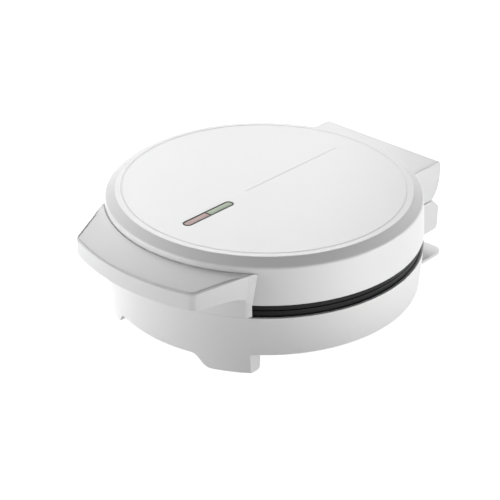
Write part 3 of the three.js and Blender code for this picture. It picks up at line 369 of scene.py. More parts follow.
# Finishes
class Graph:
    """The nodes of a material or of a world, round its shader."""

    def __init__(self, holder: bpy.types.ID, shader: str, out: str = "Material") -> None:
        """Empties a material or a world and gives it a shader.

        Args:
            holder: the material or the world.
            shader: the kind of the shader.
            out: the kind of the output that the shader goes to.
        """
        holder.use_nodes = True
        self.tree = holder.node_tree
        self.tree.nodes.clear()
        self.shader = self.node(shader)
        self.chain(self.node(f"Output{out}"), self.shader.outputs[0])
        self.place = self.node("TexCoord").outputs["Object"] if out == "Material" else None

    def feed(self, node: bpy.types.Node, **values: float | Sequence[float] | Socket) -> None:
        """Sets or links a node's inputs, named with underscores for spaces."""
        for name, value in values.items():
            socket = node.inputs[name.replace("_", " ")]
            if isinstance(value, Socket):
                self.tree.links.new(value, socket)
            else:
                socket.default_value = value

    def node(self, kind: str, **values: float | Sequence[float] | Socket) -> bpy.types.Node:
        """Adds a node of a kind and sets or links its inputs."""
        added = self.tree.nodes.new(f"ShaderNode{kind}")
        self.feed(added, **values)
        return added

    def chain(self, node: bpy.types.Node, *values: Socket) -> None:
        """Links values to a node's inputs, in their order."""
        for value, socket in zip(values, node.inputs):
            self.tree.links.new(value, socket)

    def joined(self, operation: str, *values: Socket) -> Socket:
        """Joins two values by an operation of arithmetic."""
        both = self.node("Math")
        both.operation = operation
        self.chain(both, *values)
        return both.outputs[0]

    def noise(self, size: float, detail: float = 3.0, stretch: Colour = (1, 1, 1)) -> Socket:
        """Adds cloudy noise with spots of a size in metres, finer layers and a squeeze along each axis."""
        turned = self.node("Mapping", Scale=stretch, Vector=self.place)
        return self.node("TexNoise", Scale=1 / size, Detail=detail, Vector=turned.outputs[0]).outputs[0]

    def cells(self, size: float) -> Socket:
        """Adds the distance to scattered points that lie about one size apart."""
        return self.node("TexVoronoi", Scale=1 / size, Vector=self.place).outputs["Distance"]

    def waves(self, size: float, axis: str, warp: float = 0.0) -> Socket:
        """Adds even bands across an axis.

        A wave texture of scale s has a band every pi / (10 s).

        Args:
            size: the distance from one band to the next, in metres.
            axis: the axis that they follow each other along.
            warp: how much they waver.

        Returns:
            Their height, from 0 to 1.
        """
        bands = self.node("TexWave", Scale=math.pi / (10 * size), Distortion=warp, Vector=self.place)
        bands.bands_direction = axis
        return bands.outputs["Fac"]

    def spread(self, value: Socket, source: Pair, target: Pair) -> Socket:
        """Maps one range of a value to another and clamps it."""
        ends = {"From_Min": source[0], "From_Max": source[1], "To_Min": target[0], "To_Max": target[1]}
        return self.node("MapRange", Value=value, **ends).outputs[0]

    def tint(self, factor: Socket, low: Colour, high: Colour) -> Socket:
        """Mixes two colours by a factor."""
        mixed = self.node("Mix")
        mixed.data_type = "RGBA"
        self.feed(mixed, A=(*low, 1.0), B=(*high, 1.0), Factor=factor)
        return mixed.outputs["Result"]

    def surface(self, colour: Socket, rough: Socket, *bumps: tuple[Socket, float], **values: float) -> None:
        """Feeds the shader.

        Args:
            colour: its colour.
            rough: its roughness.
            bumps: heights that are raised one on the other, each with its depth in metres.
            values: plain numbers for the shader's other inputs.
        """
        self.feed(self.shader, Base_Color=colour, Roughness=rough, **values)
        normal: dict[str, Socket] = {}
        for height, depth in bumps:
            bump = self.node("Bump", Strength=1.0, Distance=depth, Height=height, **normal)
            normal = {"Normal": bump.outputs[0]}
        self.feed(self.shader, **normal)


# The range that most of a noise's values lie in
MOST: Pair = (0.3, 0.7)


def scaled(colour: Colour, share: float) -> Colour:
    """Makes a colour lighter or darker by a share."""
    return (colour[0] * share, colour[1] * share, colour[2] * share)


@dataclass(frozen=True)
class Finish:
    """What every finish has: a name, a colour and a roughness."""

    name: str
    colour: Colour
    roughness: float

    def material(self) -> bpy.types.Material:
        """Gives the finish's material, and makes it the first time."""
        found = bpy.data.materials.get(self.name)
        if found is None:
            found = bpy.data.materials.new(self.name)
            self.draw(Graph(found, "BsdfPrincipled"))
        return found

    def draw(self, graph: Graph) -> None:
        """Adds the finish's nodes to a graph."""
        raise NotImplementedError

    def rougher(self, graph: Graph, value: Socket, less: float, more: float, source: Pair = MOST) -> Socket:
        """Gives a roughness that a value moves from a little less to a little more than its own."""
        return graph.spread(value, source, (self.roughness - less, self.roughness + more))


@dataclass(frozen=True)
class Moulded(Finish):
    """Injection-moulded plastic.

    Faint clouds of flow tone, a fine eroded grain, a slow waviness, and thin rubbed streaks that are
    a little shinier.
    """

    grain: float = 0.35 * MM
    grain_depth: float = 0.004 * MM
    wave: float = 24 * MM
    wave_depth: float = 0.02 * MM
    cloud: float = 38 * MM
    clouding: float = 0.03
    smudge_size: float = 16 * MM
    smudge: float = 0.035
    streak_size: float = 2.2 * MM
    streak_way: Colour = (1, 0.08, 1)
    streak_part: Pair = (0.62, 0.8)
    streak: float = 0.09
    specular: float = 0.5

    def draw(self, graph: Graph) -> None:
        """Adds the flow tone, the streaks over the smudges, and the grain over the waviness."""
        rubbed = graph.noise(self.streak_size, 2, self.streak_way)
        streaks = graph.spread(rubbed, self.streak_part, (0.0, -self.streak))
        smudges = self.rougher(graph, graph.noise(self.smudge_size, 5), self.smudge, self.smudge)
        graph.surface(
            graph.tint(graph.noise(self.cloud, 4), scaled(self.colour, 1 - self.clouding), self.colour),
            graph.joined("ADD", streaks, smudges),
            (graph.noise(self.grain, 2), self.grain_depth),
            (graph.noise(self.wave, 1), self.wave_depth),
            Specular_IOR_Level=self.specular,
        )


@dataclass(frozen=True)
class Coated(Finish):
    """Dark non-stick coating on a casting: pale flecks in a black coat, over a slight orange peel."""

    fleck: Colour = (0.06, 0.06, 0.063)
    fleck_size: float = 0.9 * MM
    fleck_part: Pair = (0.1, 0.2)
    patch: float = 3 * MM
    patch_part: Pair = (0.5, 0.62)
    patch_share: float = 0.8
    wear: float = 9 * MM
    peel: float = 0.8 * MM
    peel_depth: float = 0.015 * MM
    sway: Pair = (0.02, 0.03)
    specular: float = 0.16

    def draw(self, graph: Graph) -> None:
        """Adds flecks that are thinned out in patches, worn gloss and orange peel."""
        flecks = graph.spread(graph.cells(self.fleck_size), self.fleck_part, (1.0, 0.0))
        patches = graph.spread(graph.noise(self.patch), self.patch_part, (0.0, self.patch_share))
        graph.surface(
            graph.tint(graph.joined("MULTIPLY", flecks, patches), self.colour, self.fleck),
            self.rougher(graph, graph.noise(self.wear, 4), *self.sway),
            (graph.noise(self.peel), self.peel_depth),
            Specular_IOR_Level=self.specular,
        )


@dataclass(frozen=True)
class Metal(Finish):
    """Bare or plated metal: fine drawn lines along one axis, and stains that dull it."""

    lines: Colour = (1, 1, 12)
    stain: Colour = (0.3, 0.28, 0.26)
    stain_size: float = 7 * MM
    stain_part: Pair = (0.45, 0.8)
    stain_share: float = 0.6
    line_size: float = 1.2 * MM
    line_part: Pair = (0.25, 0.75)
    line_depth: float = 0.006 * MM
    sway: Pair = (0.08, 0.12)

    def draw(self, graph: Graph) -> None:
        """Adds the stains and the lines."""
        stains = graph.spread(graph.noise(self.stain_size, 5), self.stain_part, (0.0, self.stain_share))
        lines = graph.noise(self.line_size, 4, self.lines)
        graph.surface(
            graph.tint(stains, self.colour, self.stain),
            self.rougher(graph, lines, *self.sway, self.line_part),
            (lines, self.line_depth),
            Metallic=1.0,
        )


@dataclass(frozen=True)
class Lens(Finish):
    """Tinted clear plastic over a lamp, drawn as an opaque tinted body with fine ribs."""

    pale: Colour = (0.9, 0.9, 0.9)
    cloud: float = 6 * MM
    cloud_share: Pair = (0.15, 0.75)
    haze: float = 2 * MM
    rib: float = 0.9 * MM
    rib_depth: float = 0.02 * MM
    sway: Pair = (0.0, 0.08)
    specular: float = 0.2

    def draw(self, graph: Graph) -> None:
        """Adds clouds of tint, a slight haze and the ribs."""
        clouds = graph.spread(graph.noise(self.cloud, 2), MOST, self.cloud_share)
        graph.surface(
            graph.tint(clouds, self.colour, self.pale),
            self.rougher(graph, graph.noise(self.haze), *self.sway),
            (graph.waves(self.rib, "Y"), self.rib_depth),
            Specular_IOR_Level=self.specular,
        )


@dataclass(frozen=True)
class Fired(Finish):
    """Ceramic, rubber or another matt body: speckled tone and a dry, grainy face."""

    speckle: float = 0.5 * MM
    depth: float = 0.02 * MM
    speckle_part: Pair = (0.35, 0.7)
    shade: float = 0.88
    patch: float = 4 * MM
    sway: Pair = (0.05, 0.05)

    def draw(self, graph: Graph) -> None:
        """Adds the speckles and the grain."""
        specks = graph.spread(graph.noise(self.speckle, 4), self.speckle_part, (0.0, 1.0))
        graph.surface(
            graph.tint(specks, scaled(self.colour, self.shade), self.colour),
            self.rougher(graph, graph.noise(self.patch), *self.sway),
            (graph.noise(self.speckle / 2, 2), self.depth),
        )


@dataclass(frozen=True)
class Woven(Finish):
    """Glass-fibre sleeve: crossed threads of two close tones."""

    thread: float = 0.6 * MM
    waver: float = 0.4
    depth: float = 0.1 * MM
    shade: float = 0.7
    patch: float = 1 * MM
    sway: Pair = (0.05, 0.1)

    def draw(self, graph: Graph) -> None:
        """Adds the crossed threads."""
        threads = (graph.waves(self.thread, axis, self.waver) for axis in "XZ")
        crossed = graph.joined("MULTIPLY", *threads)
        graph.surface(
            graph.tint(crossed, scaled(self.colour, self.shade), self.colour),
            self.rougher(graph, graph.noise(self.patch), *self.sway),
            (crossed, self.depth),
        )


@dataclass(frozen=True)
class Glass(Finish):
    """Thin lamp glass, a little hazy where it was drawn off."""

    haze: float = 0.06
    cloud: float = 3 * MM
    depth: float = 0.02 * MM
    shade: float = 0.9
    passes: float = 0.85
    ior: float = 1.5

    def draw(self, graph: Graph) -> None:
        """Adds the haze and a slight waviness."""
        clouds = graph.noise(self.cloud, 2)
        graph.surface(
            graph.tint(clouds, scaled(self.colour, self.shade), self.colour),
            self.rougher(graph, clouds, 0.0, self.haze),
            (clouds, self.depth),
            Transmission_Weight=self.passes,
            IOR=self.ior,
        )


FINISHES: dict[Slot, Finish] = {
    Slot.WHITE: Moulded("white_shell", (0.86, 0.86, 0.86), 0.36, clouding=0.015, smudge=0.015, streak=0.03),
    Slot.DISC: Moulded(
        "white_disc",
        (0.86, 0.86, 0.86),
        0.36,
        grain_depth=0.002 * MM,
        wave_depth=0.003 * MM,
        clouding=0.01,
        smudge=0.008,
        streak=0.012,
    ),
    Slot.COATED: Coated("dark_coat", (0.004, 0.004, 0.0043), 0.32),
    Slot.SHEATH: Metal("dulled_sheath", (0.32, 0.3, 0.28), 0.42, (1, 1, 6), (0.12, 0.1, 0.09)),
    Slot.SHIELD: Metal("pressed_shield", (0.78, 0.79, 0.8), 0.28, (10, 1, 1), (0.6, 0.55, 0.48)),
    Slot.ZINC: Metal("zinc_screw", (0.66, 0.67, 0.7), 0.3, (1, 1, 4), (0.42, 0.41, 0.38)),
    Slot.PAD: Fired("pad_rubber", (0.62, 0.62, 0.6), 0.82, 0.4 * MM, 0.03 * MM),
    Slot.FRAME: Moulded("window_frame", (0.075, 0.085, 0.078), 0.5, clouding=0.15, specular=0.15),
    Slot.RED: Lens("tinted_red", (0.72, 0.46, 0.44), 0.45, (0.8, 0.6, 0.57)),
    Slot.GREEN: Lens("tinted_green", (0.56, 0.68, 0.5), 0.45, (0.66, 0.75, 0.6)),
    Slot.LAMP: Glass("thin_glass", (0.95, 0.9, 0.84), 0.04),
    Slot.CERAMIC: Fired("fired_clay", (0.74, 0.7, 0.6), 0.6),
    Slot.SLEEVE: Woven("fibre_sleeve", (0.62, 0.57, 0.42), 0.75),
}


# The lid
@dataclass
class LidShell:
    """The upper casing: a conical wall, a sloped shoulder and a flat ring round a sunk seat."""

    wall: float = 2.2 * MM
    taper: float = 1.9 * MM
    shoulder_width: float = 6.5 * MM
    shoulder_height: float = 4.3 * MM
    ring: float = 3.8 * MM
    seat_depth: float = 1.8 * MM
    groove: float = 0.12 * MM
    crisp: float = 0.1 * MM
    brow: float = 0.9 * MM
    soft: float = 2.5 * MM
    lip: float = 0.5 * MM
    steps: int = 7
    count: int = 288

    def build(self) -> None:
        """Turns the casing's profile, with a soft lower shoulder edge and a crisp upper one."""
        low, high = box_of("lid_shell")
        rim, top, radius = low[2], high[2], high[0]
        shoulder = top - self.shoulder_height
        waist = radius - self.taper
        flat = waist - self.shoulder_width
        seat, floor = flat - self.ring, top - self.seat_depth
        ledge = box_of("lid_top_disc")[1][0]
        wall, groove = self.wall, top - self.groove
        corners = [(seat - self.ring, floor), (ledge, floor), (ledge, groove), (seat, groove), (seat, top)]
        corners += [(flat, top), (waist, shoulder), (radius, rim), (radius - wall, rim)]
        corners += [(waist - wall, shoulder - wall), (seat, floor - wall), (seat - self.ring, floor - wall)]
        crisp, soft, lip = self.crisp, self.soft, self.lip
        radii = [0, 0, crisp, crisp, 2 * crisp, self.brow, soft, lip, lip, soft, soft, 0]
        skin = Skin()
        profile = rounded(corners, radii, self.steps)[self.steps : -self.steps]
        skin.close(skin.turned(profile, self.count).T)
        skin.made("lid_casing", Body.LID, Slot.WHITE, ["lid_shell"])


@dataclass
class TopDisc:
    """The flat disc in the lid's top, with the engraved line and the window's hole."""

    edge: float = 0.25 * MM
    under_edge: float = 0.1 * MM
    fit: float = 0.3 * MM
    hole_edge: float = 0.15 * MM
    hole_under_edge: float = 0.05 * MM
    line_x: float = -1.3 * MM
    line_start: float = 16.4 * MM
    line_margin: float = 18.9 * MM
    line_half: float = 0.4 * MM
    line_steps: tuple[Pair, ...] = ((0.0, 0.0), (0.021, 0.07), (0.112, 0.16), (0.14, 0.26))
    count: int = 288

    def build(self) -> None:
        """Makes the disc as one body: its rim, its two faces, the hole and the line's trough."""
        low, high = box_of("lid_top_disc")
        frame_low, frame_high = box_of("indicator_bezel")
        bottom, top = low[2], high[2]
        skin = Skin()
        levels = edge_levels(bottom, top, self.under_edge, self.edge)
        rim = skin.stacked(circle(0, 0, high[0], self.count), levels)
        half = half_width("indicator_bezel") + self.fit
        middle = (frame_low[0] + frame_high[0]) / 2
        hole = stadium(middle, frame_low[1] - self.fit, frame_high[1] + self.fit, half)
        window = skin.stacked(hole, flared(edge_levels(bottom, top, self.hole_under_edge, self.hole_edge)))
        start, end = frame_high[1] + self.line_start, high[1] - self.line_margin
        trough = stadium(self.line_x, start, end, self.line_half)
        skin.cap(rim[0], window[0])
        skin.cap(rim[-1], window[-1], skin.pit(trough, stepped(top, self.line_steps, -1)))
        skin.made("top_disc", Body.LID, Slot.DISC, ["lid_top_disc"])


@dataclass
class Window:
    """The indicator window: a thin dark frame with a divider round two tinted lenses."""

    gap: float = 0.2 * MM
    edge: float = 0.15 * MM
    under_edge: float = 0.02 * MM
    dome: float = 0.25 * MM
    dome_reach: float = 1.9 * MM
    dome_steps: int = 6
    steps: int = 12

    def lens_outline(self, low: Array, high: Array, round_at_front: bool) -> Outline:
        """Gives the outline of a lens that is round at one end and square at the other.

        Args:
            low: the lens's lowest corner.
            high: its highest corner.
            round_at_front: whether its front end is the round one.

        Returns:
            A function from an inset to the outline's points.
        """
        half = (high[0] - low[0]) / 2
        x = (low[0] + high[0]) / 2
        angle = np.linspace(0, math.pi, self.steps + 1)
        arc = np.stack([np.cos(angle), np.sin(angle)], 1)
        way = -1.0 if round_at_front else 1.0
        tip, foot = (low[1], high[1]) if round_at_front else (high[1], low[1])

        def outline(inset: float) -> Array:
            """Gives the lens's points at an inset."""
            head = np.array([x, tip - way * half]) + (half - inset) * arc * np.array([1.0, way])
            reach, end = half - inset, foot + way * inset
            return np.concatenate([head, [(x - reach, end), (x + reach, end)]])

        return outline

    def lens(self, colour: str, slot: Slot, outline: Outline) -> None:
        """Makes a lens with a domed top: at the share s of the dome's reach it lies (1 - s)^2 dome lower.

        Args:
            colour: the colour's word in the names of the piece and the node.
            slot: its material slot.
            outline: its outline.
        """
        node = f"indicator_lens_{colour}"
        low, high = box_of(node)
        share = np.linspace(0, 1, self.dome_steps + 1)
        crown = np.stack([high[2] - self.dome * (1 - share) ** 2, self.dome_reach * share], 1)
        skin = Skin()
        skin.solid(outline, np.concatenate([[(low[2], 0.0)], crown]))
        skin.made(f"lens_{colour}", Body.LID, slot, [node])

    def build(self) -> None:
        """Makes the two lenses and the frame round them."""
        low, high = box_of("indicator_bezel")
        levels = edge_levels(low[2], high[2], self.under_edge, self.edge)
        skin = Skin()
        outline = stadium((low[0] + high[0]) / 2, low[1], high[1], half_width("indicator_bezel"))
        outer = skin.stacked(outline, levels)
        holes = []
        for colour, slot, at_front in (("red", Slot.RED, True), ("green", Slot.GREEN, False)):
            outline = self.lens_outline(*box_of(f"indicator_lens_{colour}"), at_front)
            holes.append(skin.stacked(outline, flared(levels, self.gap)))
            self.lens(colour, slot, outline)
        for end in (0, -1):
            skin.cap(outer[end], *(hole[end] for hole in holes))
        skin.made("window_frame", Body.LID, Slot.FRAME, ["indicator_bezel"])


@dataclass
class Handle:
    """The handle: a wing that falls away from the lid as a cone, on an apron along the lid's wall."""

    root_half: float = 67.4 * MM
    corner_x: float = 51.1 * MM
    bow: float = 9.8 * MM
    corner_round: float = 3 * MM
    apron: float = 2.1 * MM
    apron_edge: float = 0.4 * MM
    drop: float = 7.2 * MM
    top_fall: float = 5.2 * MM
    root_depth: float = 15 * MM
    bottom_fall: float = 1.3 * MM
    wall: float = 2.4 * MM
    top_edge: float = 0.9 * MM
    side_edge: float = 0.7 * MM
    crease_width: float = 1.5 * MM
    crease_depth: float = 0.6 * MM
    root_width: float = 1.2 * MM
    root_dip: float = 0.9 * MM
    fillet: float = 3.5 * MM
    fit: float = 0.3 * MM
    seat: float = 3.6 * MM
    overlap: float = 0.7 * MM
    steepest: float = 0.5
    apron_share: float = 0.9996
    fillet_share: float = 0.9992
    sharp: float = 38.0
    front_count: int = 60
    corner_count: int = 17
    side_count: int = 26
    top_count: int = 10
    crease_count: int = 9
    edge_steps: int = 6
    fillet_steps: int = 8
    apron_count: int = 121

    def __post_init__(self) -> None:
        """Reads the places that follow from the frame."""
        low, _ = box_of("handle")
        lid_low, lid_high = box_of("lid_shell")
        self.front, self.bottom = -low[1], low[2]
        self.rim, self.lid_top, self.radius = lid_low[2], lid_high[2], lid_high[0]
        self.taper = LidShell.taper
        self.shoulder_radius = self.radius - self.taper
        self.wall_height = self.lid_top - LidShell.shoulder_height - self.rim
        self.apron_radius = self.radius + self.apron
        self.start = self.apron_radius - self.overlap
        self.root = np.array([self.root_half, -math.sqrt(self.shoulder_radius**2 - self.root_half**2)])
        self.corner = np.array([self.corner_x, self.bow - self.front])

    def outward(self, r: Array) -> Array:
        """Share of the way from the shoulder's radius to the front."""
        return (r - self.shoulder_radius) / (self.front - self.shoulder_radius)

    def top_at(self, r: Array) -> Array:
        """Height of the top: it falls by top_fall from the shoulder's radius to the front."""
        return self.lid_top - self.drop - self.top_fall * self.outward(r)

    def bottom_at(self, r: Array) -> Array:
        """Height of the underside: it falls by bottom_fall over the same stretch."""
        return self.lid_top - self.drop - self.root_depth - self.bottom_fall * self.outward(r)

    def inner_at(self, z: float) -> float:
        """Radius of the lid's wall at a height, with the clearance."""
        share = min(max((z - self.rim) / self.wall_height, 0.0), 1.0)
        return self.radius - self.taper * share + self.fit

    def side_at(self, r: Array) -> Array:
        """Gives the points where the right side's straight line crosses circles round the lid's axis.

        With R the root and u the line's unit direction, the point at radius r lies
        sqrt((R.u)^2 - R^2 + r^2) - R.u along the line from the root.

        Args:
            r: the circles' radii, of shape (n,).

        Returns:
            Points of shape (n, 2).
        """
        way = (self.corner - self.root) / np.linalg.norm(self.corner - self.root)
        near = float(self.root @ way)
        along = np.sqrt(near**2 - self.root @ self.root + np.asarray(r) ** 2) - near
        return self.root + along[:, None] * way

    def edge(self) -> Array:
        """Gives the wing's free edge from the left apron round the front to the right one.

        The sides are straight, the front is an arc whose middle lies bow ahead of its ends, and each
        corner is a quadratic curve.

        Returns:
            Points of shape (n, 2).
        """
        corner = self.corner
        arc_radius = (corner[0] ** 2 + self.bow**2) / (2 * self.bow)
        centre = arc_radius - self.front
        stop = math.asin((corner[0] - self.corner_round) / arc_radius)
        side = (self.root - corner) / np.linalg.norm(self.root - corner)
        near = corner + side * self.corner_round
        last = self.side_at(np.array([self.apron_radius - self.overlap / 2]))
        angle = np.linspace(0, stop, self.front_count)
        arc = np.stack([arc_radius * np.sin(angle), centre - arc_radius * np.cos(angle)], 1)
        t = np.linspace(0, 1, self.corner_count)[1:-1, None]
        bend = (1 - t) ** 2 * arc[-1] + 2 * t * (1 - t) * corner + t**2 * near
        straight = near + (last - near) * np.linspace(0, 1, self.side_count)[:, None]
        half = np.concatenate([arc, bend, straight])
        return np.concatenate([half[::-1] * np.array([-1, 1]), half[1:]])

    def wing(self, skin: Skin) -> None:
        """Adds the wing: at each point of its edge a section in the plane through the lid's axis.

        The section runs along the top from the apron, through the shallow crease 1 - cos deep that
        follows the edge, round a quarter circle, down the side, round the lower edge, in along the rim,
        up into the recess of the cover and back. Where the wing runs out at the apron, all of these
        shrink in step with the room that is left.
        """
        edge = self.edge()
        reach = np.hypot(edge[:, 0], edge[:, 1])
        way = edge / reach[:, None]
        along = np.gradient(edge, axis=0)
        normal = np.stack([-along[:, 1], along[:, 0]], 1)
        normal /= np.linalg.norm(normal, axis=1, keepdims=True)
        slant = 1 / np.clip(np.abs((normal * way).sum(1)), self.steepest, 1)
        room = (reach - self.start) / (2 * (self.crease_width + self.top_edge) * slant)
        room = np.clip(room, 0.0, 1.0)
        big, small = self.top_edge * room, self.side_edge * room
        outer_top = reach - big * slant
        crease = self.crease_width * room * slant
        flat_share = np.linspace(0, 1, self.top_count)[:, None]
        top = self.start + (outer_top - crease - self.start) * flat_share
        turn = np.linspace(0, 2 * math.pi, self.crease_count)[1:, None]
        dip = outer_top - crease + crease * turn / (2 * math.pi)
        sunk = self.top_at(dip) - self.crease_depth * room * (1 - np.cos(turn)) / 2
        sine, cosine = quarter(self.edge_steps)
        brow = reach - big * slant * (1 - sine[1:])
        brow_z = self.top_at(outer_top) - big * (1 - cosine[1:])
        chin = reach - small * slant * (1 - cosine)
        chin_z = self.bottom_at(reach) + small * (1 - sine)
        rim = np.maximum(reach - self.wall * slant, self.start + self.overlap / 4)[None]
        hollow = np.minimum(self.seat, reach - self.start)[None]
        inner = np.full_like(rim, self.start)
        tail = [self.bottom_at(rim), self.bottom_at(rim) + hollow, self.bottom_at(inner) + hollow]
        r = np.concatenate([top, dip, brow, chin, rim, rim, inner]).T
        z = np.concatenate([self.top_at(top), sunk, brow_z, chin_z, *tail]).T
        skin.close(skin.grid(np.stack([way[:, :1] * r, way[:, 1:] * r, z], -1), False, True))

    def swept(self, skin: Skin, profile: Array, share: float) -> None:
        """Adds a closed profile carried round the lid and cut off along the handle's two sides.

        With x_r the place where the side's line crosses the circle of radius r, the point of radius r
        at the share s lies at x = s x_r and y = -sqrt(r^2 - x^2).

        Args:
            skin: the handle in the making.
            profile: (radius, height) pairs.
            share: the largest share, a little under 1 so that no two ends lie in one plane.
        """
        r, z = profile[None, :, 0], profile[None, :, 1]
        x = np.linspace(-share, share, self.apron_count)[:, None] * self.side_at(profile[:, 0])[None, :, 0]
        points = np.stack([x, -np.sqrt(r**2 - x**2), np.broadcast_to(z, x.shape)], -1)
        skin.close(skin.grid(points, False, True))

    def build(self) -> None:
        """Makes the wing, the apron and the fillet under the wing as one piece."""
        skin = Skin()
        self.wing(skin)
        outer = self.apron_radius
        inner = self.inner_at(self.lid_top - self.drop)
        root = inner + self.root_width
        corners = [(self.inner_at(self.bottom), self.bottom), (outer, self.bottom)]
        corners += [(outer, self.top_at(outer) - self.overlap), (self.start, self.top_at(self.start))]
        corners += [(root, self.top_at(root)), (inner, self.top_at(inner) - self.root_dip)]
        corners += [(self.inner_at(self.rim), self.rim)]
        edge = self.apron_edge
        self.swept(skin, rounded(corners, [edge / 2, edge, 0, 0, 0, 0, 0]), self.apron_share)
        sine, cosine = quarter(self.fillet_steps)
        fillet = np.array([outer, self.bottom_at(outer)]) + self.fillet * np.hstack([1 - cosine, sine - 1])
        end = fillet[-1, 1] + self.side_edge
        back = [(fillet[-1, 0], end), (self.start, end), (self.start, fillet[0, 1])]
        self.swept(skin, np.concatenate([fillet, back]), self.fillet_share)
        skin.made("handle_wing", Body.LID, Slot.WHITE, ["handle"], self.sharp)


# The plates
@dataclass
class CookingPlate:
    """A coated cast plate: a sunk round field of square pockets inside a flat rim, and a collar below."""

    edge: float = 0.6 * MM
    flange: float = 3.85 * MM
    collar_inset: float = 1.2 * MM
    collar: float = 3.5 * MM
    collar_depth: float = 4.1 * MM
    collar_edge: float = 0.4 * MM
    cook_inset: float = 16.2 * MM
    sunk: float = 0.8 * MM
    draft: float = 0.6 * MM
    field_edges: Pair = (0.4 * MM, 0.5 * MM)
    field_ledge: float = 1 * MM
    web: float = 3.4 * MM
    web_ledge: float = 4 * MM
    pitch: float = 15 * MM
    bar: float = 2.8 * MM
    pocket_round: float = 1.4 * MM
    pocket_round_steps: int = 3
    pocket_steps: tuple[Pair, ...] = ((0, -0.35), (0.1, -0.12), (0.35, 0), (0.55, 0.15), (0.9, 0.55))
    steps: int = 5
    count: int = 240

    def pockets(self, skin: Skin, face: float, field_radius: float) -> list[Array]:
        """Adds the pockets that fit whole inside the field.

        Args:
            skin: the plate in the making.
            face: the height of the sunk field.
            field_radius: the field's radius.

        Returns:
            The loop of each pocket's mouth.
        """
        half = (self.pitch - self.bar) / 2
        reach = int(field_radius // self.pitch)
        places = self.pitch * np.arange(-reach, reach + 1)
        corner = (self.pocket_round, self.pocket_round_steps)
        squares = [
            rectangle((x - half, y - half), (x + half, y + half), *corner)
            for x in places
            for y in places
            if math.hypot(abs(x) + half, abs(y) + half) <= field_radius - self.bar
        ]
        return [skin.pit(square, stepped(face, self.pocket_steps, -1)) for square in squares]

    def build(self, name: str, body: Body, node: str, faces_up: bool) -> None:
        """Makes one plate.

        Args:
            name: the piece's name.
            body: the body that it rides on.
            node: the CAD node that it stands for.
            faces_up: whether its cooking face looks up.
        """
        low, high = box_of(node)
        land, rim = (high[2] if faces_up else low[2]), high[0]
        radius = rim - self.cook_inset
        collar = rim - self.collar_inset
        inside = collar - self.collar
        shelf, web = land - self.flange, land - self.sunk - self.web
        foot = shelf - self.collar_depth
        field = land - self.sunk
        corners = [(radius - self.field_ledge, field), (radius, field), (radius + self.draft, land)]
        corners += [(rim, land), (rim, shelf), (collar, shelf), (collar, foot), (inside, foot)]
        corners += [(inside, web), (inside - self.web_ledge, web)]
        radii = [0, *self.field_edges, self.edge, self.edge, 0, self.collar_edge, self.collar_edge, 0, 0]
        skin = Skin()
        rings = skin.turned(rounded(corners, radii, self.steps)[self.steps : -self.steps], self.count)
        mouths = self.pockets(skin, field, radius - self.field_ledge)
        skin.cap(rings[:, 0], *mouths)
        skin.cap(rings[:, -1])
        if not faces_up:
            skin.turn_over(land)
        skin.made(name, body, Slot.COATED, [node])


